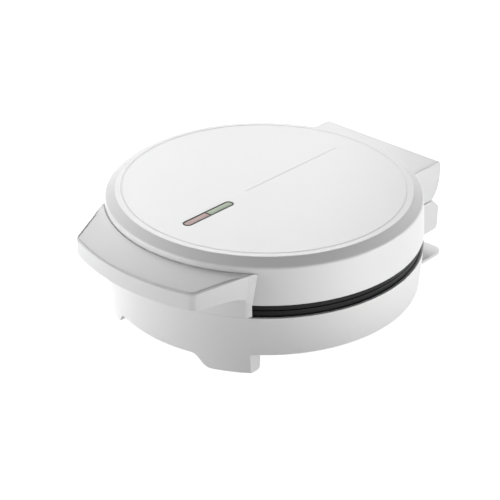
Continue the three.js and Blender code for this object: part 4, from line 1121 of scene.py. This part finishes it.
# The base
@dataclass
class BaseShell:
    """The lower casing: a conical wall that runs down into two feet and a skirt, and a pierced floor."""

    wall: float = 2.2 * MM
    taper: float = 1.7 * MM
    edge: float = 1 * MM
    lip: float = 0.5 * MM
    bend: float = 2 * MM
    skirt_x: float = 29.5 * MM
    foot_in_x: float = 42 * MM
    foot_out_x: float = 63.5 * MM
    skirt_z: float = 9.5 * MM
    foot_depth: float = 7.2 * MM
    foot_round: float = 4 * MM
    heel_share: float = 0.3
    heel_gap: float = 0.1 * MM
    heel_fall: float = 0.001
    flat_radius: float = 94.5 * MM
    pad_x: float = 52 * MM
    pad_inset: float = 23.5 * MM
    pad_flare: float = 0.3 * MM
    boss_radius: float = 6.3 * MM
    boss_edges: Pair = (0.05 * MM, 0.6 * MM)
    vent_count: int = 5
    vent_pitch: float = 9 * MM
    vent_y: float = 30 * MM
    vent_length: float = 26 * MM
    vent_width: float = 3 * MM
    vent_edges: Pair = (0.3 * MM, 0.1 * MM)
    vent_edge_steps: int = 3
    well_radius: float = 3.7 * MM
    well_mouth: tuple[Pair, ...] = ((0, -0.3), (0.09, -0.09), (0.3, 0))
    tower_radius: float = 5.8 * MM
    tower_height: float = 6 * MM
    tower_web: float = 2.2 * MM
    tower_edges: Pair = (0.01 * MM, 0.3 * MM)
    cut: float = 2e-4
    skirt_count: int = 14
    fall_count: int = 18
    foot_count: int = 12
    side_count: int = 130
    floor_count: int = 3
    wall_count: int = 12
    edge_steps: int = 6
    vent_steps: int = 8
    well_count: int = 28
    tower_count: int = 36
    boss_count: int = 48

    def __post_init__(self) -> None:
        """Reads the places that follow from the frame."""
        low, high = box_of("base_shell")
        self.foot_z, self.rim, self.top_radius = low[2], high[2], high[0]
        self.floor = float(box_of("base_hinge_housing")[0][2])

    def radius_at(self, z: Array) -> Array:
        """Radius of the outer wall at a height: it widens evenly by taper from the floor to the rim."""
        return self.top_radius - self.taper * (self.rim - z) / (self.rim - self.floor)

    def stations(self) -> Array:
        """Gives the places round the wall where a section is drawn.

        A place q from 0 to 1 is a plane x = q foot_out_x, from 1 to 2 it turns to the side, and from 2
        to 3 it goes round the back. Between skirt and foot the lower edge is an S: along it x is a cubic
        curve whose two middle points lie halfway, and z falls by 3 t^2 - 2 t^3. The left side repeats
        the right with the other sign.

        Returns:
            q, the height of the lower edge and how deep the foot is, of shape (3, stations).
        """
        skirt = np.linspace(0, self.skirt_x, self.skirt_count)
        t = np.linspace(0, 1, self.fall_count)
        middle = (self.skirt_x + self.foot_in_x) / 2
        slope = self.skirt_x * (1 - t) ** 3 + 3 * middle * t * (1 - t) + self.foot_in_x * t**3
        fall = self.skirt_z + (self.foot_z - self.skirt_z) * (3 * t**2 - 2 * t**3)
        foot = np.linspace(self.foot_in_x, self.foot_out_x, self.foot_count)[1:]
        side = np.concatenate([[1 + self.cut], np.linspace(1, 3, self.side_count)[1:]])
        q = np.concatenate([np.concatenate([skirt, slope, foot]) / self.foot_out_x, side])
        q[len(skirt)] += self.cut
        lows = [self.skirt_z + 0 * skirt, fall, self.foot_z + 0 * foot, self.floor + 0 * side]
        deep = np.where(np.arange(len(q)) < len(skirt), self.wall, self.foot_depth)
        half = np.stack([q, np.concatenate(lows), deep])
        return np.concatenate([half, half[:, -2:0:-1] * np.array([[-1], [1], [1]])], 1)

    def placed(self, q: Array, r: Array, z: Array) -> Array:
        """Turns places, radii and heights into points.

        With x_f the feet's outer side, a front place lies at the angle asin(q x_f / r) from -Y, a side
        place between asin(x_f / r) and a right angle, and a back place between a right angle and +Y.

        Args:
            q: the stations, of shape (m,).
            r: radii, of shape (m, n).
            z: heights, of shape (m, n).

        Returns:
            Points of shape (m, n, 3).
        """
        share = np.abs(q)[:, None]
        front = np.arcsin(np.clip(np.minimum(share, 1) * self.foot_out_x / r, 0, 1))
        side = front + np.clip(share - 1, 0, 1) * (math.pi / 2 - front)
        angle = (side + np.clip(share - 2, 0, 1) * math.pi / 2) * np.sign(q)[:, None]
        return np.stack([r * np.sin(angle), -r * np.cos(angle), z], -1)

    def section(self, low: Array, deep: Array) -> Array:
        """Gives each station's section, from the flat floor's edge outside round to the one inside.

        Args:
            low: the height of the lower edge at each station.
            deep: how far the foot reaches in there.

        Returns:
            Radii and heights, of shape (2, stations, points).
        """
        sine, cosine = quarter(self.edge_steps)
        flat = np.linspace(0, 1, self.floor_count)[:-1, None]
        inner = self.radius_at(self.floor) - deep
        heel = np.minimum(self.foot_round, deep * self.heel_share)
        fall = self.floor - low
        start, tip = low + self.edge, self.rim - self.lip
        edge_in, edge_out = self.radius_at(low) - self.edge, self.radius_at(start)
        rise = start + (tip - start) * np.linspace(0, 1, self.wall_count)[1:, None]
        inside = self.floor + self.wall
        inside_top, inside_low = self.top_radius - self.wall, self.radius_at(inside) - self.wall
        parts = [
            (self.flat_radius + (inner - self.flat_radius - self.heel_gap) * flat, self.floor),
            (inner, self.floor - fall * self.heel_fall),
            (inner + heel * (1 - cosine), low + np.minimum(heel, fall) * (1 - sine)),
            (edge_in, low),
            (edge_in + (edge_out - edge_in) * sine[1:], low + self.edge * (1 - cosine[1:])),
            (self.radius_at(rise), rise),
            (self.top_radius - self.lip * (1 - cosine[1:]), tip + self.lip * sine[1:]),
            (inside_top + self.lip * (1 - cosine[::-1]), tip + self.lip * sine[::-1]),
            (inside_low - self.bend * (1 - cosine), inside + self.bend * (1 - sine)),
            (self.flat_radius, inside),
        ]
        rows = [np.stack(np.broadcast_arrays(r, z, low[None])[:2]) for r, z in parts]
        return np.concatenate(rows, 1).swapaxes(1, 2)

    def openings(self, skin: Skin) -> tuple[list[Array], list[Array]]:
        """Adds the vents and, round each plate screw, a well with its tower.

        Args:
            skin: the casing in the making.

        Returns:
            The loops of the mouths in the floor's underside, and in its upper side.
        """
        offsets = (np.arange(self.vent_count) - (self.vent_count - 1) / 2) * self.vent_pitch
        half, top = self.vent_length / 2, self.floor + self.wall
        crown = top + self.tower_height
        below, above = [], []
        for x in offsets:
            for y in (-self.vent_y, self.vent_y):
                vent = stadium(float(x), y - half, y + half, self.vent_width / 2, self.vent_steps)
                walls = edge_levels(self.floor, top, *self.vent_edges, self.vent_edge_steps)
                rings = skin.stacked(vent, flared(walls))
                below.append(rings[0])
                above.append(rings[-1])
        well = np.concatenate([stepped(self.floor, self.well_mouth), [(crown - self.tower_web, 0.0)]])
        tower = edge_levels(top, crown, *self.tower_edges)
        for i in (1, 2, 3):
            low, high = box_of(f"lower_plate_screw_{i}")
            x, y = (low + high)[:2] / 2
            below.append(skin.pit(circle(x, y, self.well_radius, self.well_count), well))
            above.append(skin.pit(circle(x, y, self.tower_radius, self.tower_count), tower))
        return below, above

    def bosses(self, skin: Skin) -> None:
        """Adds the round boss inside each front foot that its pad is set into."""
        y = self.taper + self.pad_inset - self.top_radius
        walls = edge_levels(self.floor + self.wall / 2, self.foot_z, *self.boss_edges)
        for x in (-self.pad_x, self.pad_x):
            boss = skin.stacked(circle(x, y, self.boss_radius, self.boss_count), walls)
            skin.cap(boss[0])
            skin.cap(boss[-1], skin.pad_recess("foot_pad_front_right", x, y, self.foot_z, self.pad_flare))

    def build(self) -> None:
        """Makes the casing."""
        q, low, deep = self.stations()
        skin = Skin()
        numbers = skin.grid(self.placed(q, *self.section(low, deep)), True, False)
        below, above = self.openings(skin)
        skin.cap(numbers[:, 0], *below)
        skin.cap(numbers[:, -1], *above)
        self.bosses(skin)
        skin.made("base_casing", Body.BASE, Slot.WHITE, ["base_shell"])


@dataclass
class RearFoot:
    """The rear foot: a hollow neck on a flat flange that keeps the wound cord in place."""

    corner: float = 7 * MM
    corner_steps: int = 14
    thick: float = 2.6 * MM
    neck_half: float = 38 * MM
    neck_inset: float = 11 * MM
    neck_depth: float = 26 * MM
    neck_wall: float = 2.4 * MM
    neck_round: float = 1.5 * MM
    neck_root: tuple[Pair, ...] = ((0, -0.5), (0.15, -0.15), (0.5, 0))
    neck_crown: tuple[Pair, ...] = ((-0.3, 0), (0, 0.3))
    room_round: float = 1 * MM
    room_edges: Pair = (0.4 * MM, 0.5 * MM)
    pad_inset: float = 9 * MM
    pad_x: float = 44 * MM
    pad_flare: float = 0.2 * MM
    soft: float = 0.6 * MM

    def build(self) -> None:
        """Makes the foot as one body: flange, neck, the hollow from below and the pads' recesses."""
        low, high = box_of("cord_wrap_foot")
        bottom, top, crown = low[2], low[2] + self.thick, high[2]
        half, back, wall = high[0], high[1], self.neck_wall
        side, neck_back = self.neck_half, back - self.neck_inset
        neck_front = neck_back - self.neck_depth
        skin = Skin()
        plate = rectangle((-half, low[1]), (half, back), self.corner, self.corner_steps)
        edges = skin.stacked(plate, edge_levels(bottom, top, self.soft))
        neck = rectangle((-side, neck_front), (side, neck_back), self.neck_round)
        walls = np.concatenate([stepped(top, self.neck_root), stepped(crown, self.neck_crown)])
        root = skin.pit(neck, walls)
        room = rectangle((wall - side, neck_front + wall), (side - wall, neck_back - wall), self.room_round)
        mouths = [skin.pit(room, cut_levels(bottom, crown - wall, *self.room_edges))]
        for x in (-self.pad_x, self.pad_x):
            y = back - self.pad_inset
            mouths.append(skin.pad_recess("foot_pad_rear_right", x, y, bottom, self.pad_flare))
        skin.cap(edges[0], *mouths)
        skin.cap(edges[-1], root)
        skin.made("rear_foot", Body.BASE, Slot.WHITE, ["cord_wrap_foot"])


# The hinge
@dataclass
class Hinge:
    """The two hinge blocks, their knuckles and the stretches of the axis that each owns."""

    edge: float = 1.0 * MM
    knuckle: float = 3.2 * MM
    knuckle_edge: float = 0.35 * MM
    knuckle_edge_steps: int = 3
    knuckle_sink: float = 2 * MM
    knuckle_end: float = -math.pi / 3
    knuckle_count: int = 30
    run: float = 0.4 * MM
    start: float = 12 * MM
    length: float = 10.6 * MM
    lead: float = 2 * MM
    draw_in: float = 21.2 * MM
    base_rise: float = 1.2 * MM
    base_rounds: tuple[float, ...] = (0, 2.4 * MM, 3.5 * MM, 1.0 * MM, 0)
    slope_drop: float = 9 * MM
    crest: float = 0.1 * MM
    lid_under: float = 1.5 * MM
    lid_crown: float = 4.2 * MM
    curve_reach: tuple[float, float, float] = (-0.25, 0.75, -0.1)
    curve_rise: tuple[float, float, float] = (0.09, 0.26, 0.56)
    under_count: int = 24
    blocks_gap: float = 0.8 * MM
    fit: float = 0.3 * MM
    seat_edge: float = 0.1 * MM
    cut: float = 0.01 * MM
    sharp: float = 38.0
    steps: int = 9

    def __post_init__(self) -> None:
        """Reads the axis and the blocks' sizes from the frame."""
        _, self.y, self.z = frame["joints"][0]["pos_m"]
        _, self.lid_high = box_of("lid_hinge_housing")
        self.base_low, self.base_high = box_of("base_hinge_housing")
        self.half = self.base_high[0]
        self.shell_radius = box_of("base_shell")[1][0]
        self.front = self.shell_radius - self.draw_in
        self.base_top = self.z - self.lid_under - self.blocks_gap
        self.base_bottom = float(self.base_low[2]) + self.base_rise
        starts = [self.start + i * (self.length + self.run) for i in range(3)]
        self.stretches = [(a, a + self.length) for a in starts]

    def base_outline(self, inset: float) -> Array:
        """Gives the side outline of the base's block in Y and Z: its back slopes in above the middle."""
        back, bottom = self.base_high[1] - inset, self.base_bottom + inset
        top = self.base_top - inset
        slope = self.z - self.slope_drop - inset / 2
        crest = self.y + self.crest - inset / 2
        corners = [(self.front, bottom), (back, bottom), (back, slope), (crest, top), (self.front, top)]
        return rounded(corners, self.base_rounds, self.steps)

    def lid_outline(self, inset: float) -> Array:
        """Gives the side outline of the lid's block: low at the back, a cubic curve clears the base."""
        low = self.z - self.lid_under
        back, bottom, top = self.lid_high[1] - inset, low + inset, self.lid_high[2] - inset
        height, knuckle = self.lid_high[2] - low, self.knuckle
        reach, rise = self.curve_reach, self.curve_rise
        t = np.linspace(0, 1, 5 * self.steps)[:, None]
        a = np.array([self.y + reach[0] * knuckle - inset / 2, bottom])
        b = np.array([self.y + reach[1] * knuckle - inset, bottom + height * rise[0]])
        c = np.array([back + reach[2] * knuckle, bottom + height * rise[1]])
        d = np.array([back, bottom + height * rise[2]])
        curve = (1 - t) ** 3 * a + 3 * t * (1 - t) ** 2 * b + 3 * t**2 * (1 - t) * c + t**3 * d
        steps = 2 * self.steps
        crown = rounded([tuple(d), (back, top), (self.front, top)], [0, self.lid_crown, 0], steps)
        near = np.linspace(self.front, a[0], self.under_count)[:-1]
        underside = np.stack([near, np.full(len(near), bottom)], 1)
        return np.concatenate([underside, curve, crown[steps + 1 : 2 * steps + 2], [(self.front, top)]])

    def notched(self, outline: Array, radius: float, up: bool) -> Array:
        """Pushes the points of an outline out of a round notch about the axis.

        A point at y inside the notch moves to the circle's height there, z + sqrt(radius^2 - dy^2) for a
        block above the axis and z - sqrt(radius^2 - dy^2) for one below.

        Args:
            outline: the outline's points.
            radius: the notch's radius.
            up: whether the block lies above the axis.

        Returns:
            The outline with the notch.
        """
        y, z = outline[:, 0] - self.y, outline[:, 1] - self.z
        arc = np.sqrt(np.maximum(radius**2 - y**2, 0)) * (1 if up else -1)
        moved = np.where(y**2 + z**2 < radius**2, arc, z) + self.z
        return np.stack([outline[:, 0], moved], 1)

    def block(self, outline: Outline, notches: list[tuple[float, float, float]], up: bool) -> Skin:
        """Makes a block: its outline along X, drawn in at both ends and notched for the other's knuckles.

        Args:
            outline: the block's side outline.
            notches: (start, end, radius) of each notch, for positive X.
            up: whether the block belongs to the lid.

        Returns:
            The block in the making, its front fitted to the casings' round wall.
        """
        stations = [(*level, 0.0) for level in edge_levels(-self.half, self.half, self.edge).tolist()]
        for start, end, radius in notches:
            for a, b in ((start, end), (-end, -start)):
                stations += [(a, 0.0, radius), (b, 0.0, radius)]
                stations += [(a - self.cut, 0.0, 0.0), (b + self.cut, 0.0, 0.0)]
        rings = []
        for x, inset, radius in sorted(stations):
            ring = self.notched(outline(inset), radius, up) if radius else outline(inset)
            wall = math.sqrt((self.shell_radius + self.fit) ** 2 - x**2)
            rings.append(np.stack([np.full(len(ring), x), np.maximum(ring[:, 0], wall), ring[:, 1]], 1))
        skin = Skin()
        skin.close(skin.grid(np.stack(rings), False, True))
        return skin

    def knuckle_outline(self, root: float) -> Outline:
        """Gives the side outline of a knuckle: a barrel about the axis, with a web to a height."""
        way = 1.0 if root > self.z else -1.0
        angle = np.linspace(math.pi, self.knuckle_end, self.knuckle_count)

        def outline(inset: float) -> Array:
            """Gives the knuckle's points at an inset."""
            r = self.knuckle - inset
            arc = np.stack([self.y + r * np.cos(angle), self.z - way * r * np.sin(angle)], 1)
            return np.concatenate([arc, [(self.y + self.knuckle / 2 - inset, root), (self.y - r, root)]])

        return outline

    def add_knuckles(self, skin: Skin, stretches: list[Pair], root: float) -> None:
        """Adds the knuckles of both sides to a block."""
        for start, end in stretches:
            for a, b in ((start, end), (-end, -start)):
                ends = edge_levels(a, b, self.knuckle_edge, steps=self.knuckle_edge_steps)
                skin.solid(self.knuckle_outline(root), ends, axis=0)

    def add_seat(self, skin: Skin) -> None:
        """Adds the pad under the base's block that rests on the rear foot's neck."""
        half, back = RearFoot.neck_half, box_of("cord_wrap_foot")[1][1] - RearFoot.neck_inset
        outline = rectangle((-half, self.shell_radius - self.edge), (half, back), self.edge)
        levels = edge_levels(float(self.base_low[2]), self.base_bottom + self.edge, self.seat_edge)
        skin.solid(outline, levels)

    def build(self) -> None:
        """Makes both blocks with their knuckles, and the lid's notch for the sleeved lead."""
        first, second, third = self.stretches
        run, clear = self.run, self.knuckle + self.run
        notches = [(a - run, b + run, clear) for a, b in (first, third)]
        lid = self.block(self.lid_outline, [*notches, (0.0, self.start - run, 2 * self.lead + run)], True)
        self.add_knuckles(lid, [second], self.z + 2 * self.knuckle)
        lid.made("lid_hinge_block", Body.LID, Slot.WHITE, ["lid_hinge_housing"], self.sharp)
        base = self.block(self.base_outline, [(second[0] - run, second[1] + run, clear)], False)
        self.add_knuckles(base, [first, third], self.base_top - self.knuckle_sink)
        self.add_seat(base)
        base.made("base_hinge_block", Body.BASE, Slot.WHITE, ["base_hinge_housing"], self.sharp)


# Small parts
@dataclass
class SmallParts:
    """Screws, pads and the cord's bush."""

    face: float = 2.2 * MM
    head: float = 3.2 * MM
    head_fall: float = 0.9 * MM
    head_height: float = 2 * MM
    head_edges: tuple[float, ...] = (0.8 * MM, 0.6 * MM, 0.15 * MM, 0.1 * MM)
    shank: float = 1.5 * MM
    core_share: float = 0.78
    tip_share: float = 0.5
    tip: float = 0.4 * MM
    thread_start: float = 0.6 * MM
    pitch: float = 1.1 * MM
    arm_reach: float = 1.7 * MM
    arm_half: float = 0.38 * MM
    recess: tuple[Pair, ...] = ((0, 0), (1.1, 0.5))
    pad_edges: Pair = (0.45 * MM, 0.15 * MM)
    pad_count: int = 64
    bore: float = 3 * MM
    flange: float = 4.6 * MM
    flange_thick: float = 1.1 * MM
    neck: float = 3.7 * MM
    barb: float = 4.3 * MM
    barb_height: float = 1.4 * MM
    bush_edges_mm: tuple[float, ...] = (0.5, 0.4, 0.1, 0.05, 0.05, 0.1, 0.1, 0.2)
    bush_count: int = 48
    count: int = 32
    steps: int = 4

    def cross(self, inset: float) -> Array:
        """Gives the outline of the cross recess in a screw's head, drawn in by an inset."""
        turn = np.arange(4)[:, None] * math.pi / 2
        x = np.array([self.arm_reach, self.arm_reach, self.arm_half])
        y = np.array([-self.arm_half, self.arm_half, self.arm_half])
        arms = np.stack([np.cos(turn) * x - np.sin(turn) * y, np.sin(turn) * x + np.cos(turn) * y], -1)
        return arms.reshape(-1, 2) * (1 - inset / self.arm_reach)

    def screw(self, node: str, body: Body, up: bool) -> None:
        """Makes a cross-head screw with a threaded shank in the place of a CAD node along Z.

        Args:
            node: the CAD node.
            body: the body that it rides on.
            up: whether the shank points up.
        """
        low, high = box_of(node)
        top = high[2] - low[2]
        seat = top - self.head_height
        half_turn = np.arange(2 * int((seat - 2 * self.shank) / self.pitch))
        thread_r = self.shank * np.where(half_turn % 2, self.core_share, 1)
        thread_z = seat - self.thread_start - self.pitch / 2 * half_turn
        corners = [(self.face, top), (self.head, top - self.head_fall), (self.head, seat)]
        corners += [(self.shank, seat), (self.shank, 0.0), (0.0, seat)]
        crown = rounded(corners, [*self.head_edges, 0, 0], self.steps)[: -2 * (self.steps + 1)]
        tip = [(self.shank * self.tip_share, self.tip), (0.0, 0.0)]
        skin = Skin()
        rings = skin.turned(np.concatenate([crown, np.stack([thread_r, thread_z], 1), tip]), self.count)
        skin.cap(rings[:, 0], skin.pit(self.cross, stepped(top, self.recess, -1)))
        if up:
            skin.turn_over(top / 2)
        skin.shift(*(low + high)[:2] / 2, low[2])
        skin.made(f"{node}_piece", body, Slot.ZINC, [node])

    def pad(self, node: str) -> None:
        """Makes a round pad with a soft lower edge."""
        low, high = box_of(node)
        skin = Skin()
        outline = circle(*(low + high)[:2] / 2, half_width(node), self.pad_count)
        skin.solid(outline, edge_levels(low[2], high[2], *self.pad_edges))
        skin.made(f"{node}_piece", Body.BASE, Slot.PAD, [node])

    def bush(self) -> None:
        """Makes the bush of the cord's hole: a flanged ring that snaps in with a barb."""
        low, high = box_of("cord_inlet_bush")
        shelf, barb = low[2] + self.flange_thick, high[2] - self.barb_height
        corners = [(self.bore, low[2]), (self.flange, low[2]), (self.flange, shelf), (self.neck, shelf)]
        corners += [(self.neck, barb), (self.barb, barb), (self.neck, high[2]), (self.bore, high[2])]
        skin = Skin()
        skin.turned(rounded(corners, MM * np.array(self.bush_edges_mm), self.steps), self.bush_count, True)
        skin.shift(*(low + high)[:2] / 2, 0.0)
        skin.made("cord_bush", Body.BASE, Slot.PAD, ["cord_inlet_bush"])

    def build(self) -> None:
        """Makes all the small parts."""
        for i in (1, 2, 3):
            self.screw(f"lower_plate_screw_{i}", Body.BASE, True)
            self.screw(f"upper_plate_screw_{i}", Body.LID, False)
        self.screw("lower_reflector_screw", Body.BASE, True)
        for side in ("left", "right"):
            self.screw(f"wrap_foot_screw_{side}", Body.BASE, True)
            self.screw(f"handle_cover_screw_{side}", Body.LID, True)
            for end in ("front", "rear"):
                self.pad(f"foot_pad_{end}_{side}")
        self.bush()


# The studio
def way_of(azimuth: float, elevation: float) -> Vector:
    """Gives the direction (sin a cos e, -cos a cos e, sin e) of azimuth a and elevation e in degrees."""
    a, e = math.radians(azimuth), math.radians(elevation)
    return Vector((math.sin(a) * math.cos(e), -math.cos(a) * math.cos(e), math.sin(e)))


@dataclass(frozen=True)
class Lamp:
    """A soft rectangular lamp that the camera doesn't see."""

    name: str
    azimuth: float
    elevation: float
    width: float
    height: float
    power: float

    def hang(self, place: Vector, turn: Euler) -> None:
        """Puts the lamp in its place, turned by three angles."""
        light = bpy.data.lights.new(self.name, "AREA")
        light.shape = "RECTANGLE"
        light.size, light.size_y = self.width, self.height
        light.energy = self.power
        lamp = bpy.data.objects.new(self.name, light)
        lamp.location, lamp.rotation_euler = place, turn
        lamp.visible_camera = False
        bpy.context.scene.collection.objects.link(lamp)


@dataclass
class Studio:
    """The pale floor, the soft lamps, the bright surround and the camera of the photograph."""

    azimuth: float = 42.64
    elevation: float = 29.06
    roll: float = 0.35
    distance: float = 944 * MM
    focus: tuple[float, float, float] = (3.98 * MM, -17.54 * MM, 38.9 * MM)
    lens: float = 104.4
    sensor: float = 36.0
    clip: Pair = (0.01, 50.0)
    ambient: float = 0.02
    glow: Pair = (0.85, 1.0)
    glow_reach: Pair = (0.25, 1.1)
    pale: float = 0.86
    floor_half: float = 8.0
    lamp_distance: float = 1.6
    card_reach: float = 0.3
    card_rise: float = 3 * MM
    lamps: tuple[Lamp, ...] = (
        Lamp("rear_left_lamp", 210, 34, 0.6, 0.7, 3.4),
        Lamp("back_lamp", 225, 34, 0.6, 0.7, 6.2),
        Lamp("high_back_lamp", 240, 38, 0.6, 0.7, 5.4),
        Lamp("left_lamp", -34, 5, 1.4, 0.3, 11.0),
        Lamp("high_left_lamp", -50, 22, 1.5, 1.0, 8.0),
        Lamp("right_lamp", 130, 5, 1.2, 0.3, 11.6),
        Lamp("side_lamp", 80, 5, 0.6, 0.3, 4.4),
    )
    card: Lamp = Lamp("side_card", 78, 0, 0.22, 0.26, 0.26)

    def camera(self) -> None:
        """Places the camera at its angles, its small roll and its distance from the frame's middle."""
        way, tilt = way_of(self.azimuth, self.elevation), math.radians(self.roll)
        level = way_of(self.azimuth + 90, 0)
        right = level * math.cos(tilt) + way.cross(level) * math.sin(tilt)
        axes = Matrix((right, way.cross(right), way)).transposed()
        data = bpy.data.cameras.new("camera")
        data.lens, data.sensor_width = self.lens, self.sensor
        data.clip_start, data.clip_end = self.clip
        seen = bpy.data.objects.new("camera", data)
        seen.matrix_world = Matrix.Translation(Vector(self.focus) + way * self.distance) @ axes.to_4x4()
        bpy.context.scene.collection.objects.link(seen)
        bpy.context.scene.camera = seen

    def white_to_eye(self, graph: Graph) -> Socket:
        """Adds a value that is 1 for rays from the camera, from a mirror or through glass."""
        rays = graph.node("LightPath").outputs
        direct = graph.joined("MAXIMUM", rays["Is Camera Ray"], rays["Is Glossy Ray"])
        return graph.joined("MAXIMUM", direct, rays["Is Transmission Ray"])

    def world(self) -> None:
        """Makes the surround white to the eye and dimmer as a light."""
        world = bpy.data.worlds.new("surround")
        graph = Graph(world, "Background", "World")
        level = graph.spread(self.white_to_eye(graph), (0, 1), (self.ambient, 1))
        graph.feed(graph.shader, Color=(1, 1, 1, 1), Strength=level)
        bpy.context.scene.world = world

    def floor(self) -> None:
        """Lays a pale floor that looks white to the eye and keeps the soft shadow."""
        half = self.floor_half
        corners = [(-half, -half, 0), (half, -half, 0), (half, half, 0), (-half, half, 0)]
        mesh = bpy.data.meshes.new("floor")
        mesh.from_pydata(corners, [], [(0, 1, 2, 3)])
        material = bpy.data.materials.new("floor")
        graph = Graph(material, "AddShader")
        reach = graph.node("VectorMath", Vector=graph.place)
        reach.operation = "LENGTH"
        level = graph.spread(reach.outputs["Value"], self.glow_reach, self.glow)
        strength = graph.joined("MULTIPLY", self.white_to_eye(graph), level)
        matt = graph.node("BsdfDiffuse", Color=(self.pale, self.pale, self.pale, 1))
        glow = graph.node("Emission", Strength=strength)
        graph.chain(graph.shader, matt.outputs[0], glow.outputs[0])
        mesh.materials.append(material)
        plane = bpy.data.objects.new("floor", mesh)
        bpy.context.scene.collection.objects.link(plane)

    def lights(self) -> None:
        """Hangs the lamps at their angles round the maker, and lays a bright card face up on the floor."""
        middle = Vector((0.0, 0.0, self.focus[2]))
        for lamp in self.lamps:
            way = way_of(lamp.azimuth, lamp.elevation)
            lamp.hang(middle + way * self.lamp_distance, way.to_track_quat("Z", "Y").to_euler())
        place = way_of(self.card.azimuth, 0) * self.card_reach
        place.z = self.card_rise
        self.card.hang(place, Euler((math.pi, 0, math.radians(self.card.azimuth))))

    def build(self) -> None:
        """Sets up the camera, the surround, the floor and the lamps."""
        self.camera()
        self.world()
        self.floor()
        self.lights()
        bpy.context.scene.view_settings.view_transform = "Standard"


def dress_nodes() -> None:
    """Gives every CAD node the finish of its material slot."""
    slot_of = {part["node"]: Slot(part["material_slot"]) for part in frame["record"]["subparts"]}
    for name, node in frame["nodes"].items():
        for holder in node.material_slots:
            holder.material = FINISHES[slot_of[name]].material()


def main() -> None:
    """Builds the pieces in order and reports each."""
    logging.basicConfig(level=logging.INFO, format="%(name)s %(message)s")
    Studio().build()
    dress_nodes()
    LidShell().build()
    TopDisc().build()
    Window().build()
    Handle().build()
    CookingPlate().build("lower_cooking_plate", Body.BASE, "lower_plate", True)
    CookingPlate().build("upper_cooking_plate", Body.LID, "upper_plate", False)
    BaseShell().build()
    RearFoot().build()
    Hinge().build()
    SmallParts().build()


if __name__ == "__main__":
    main()
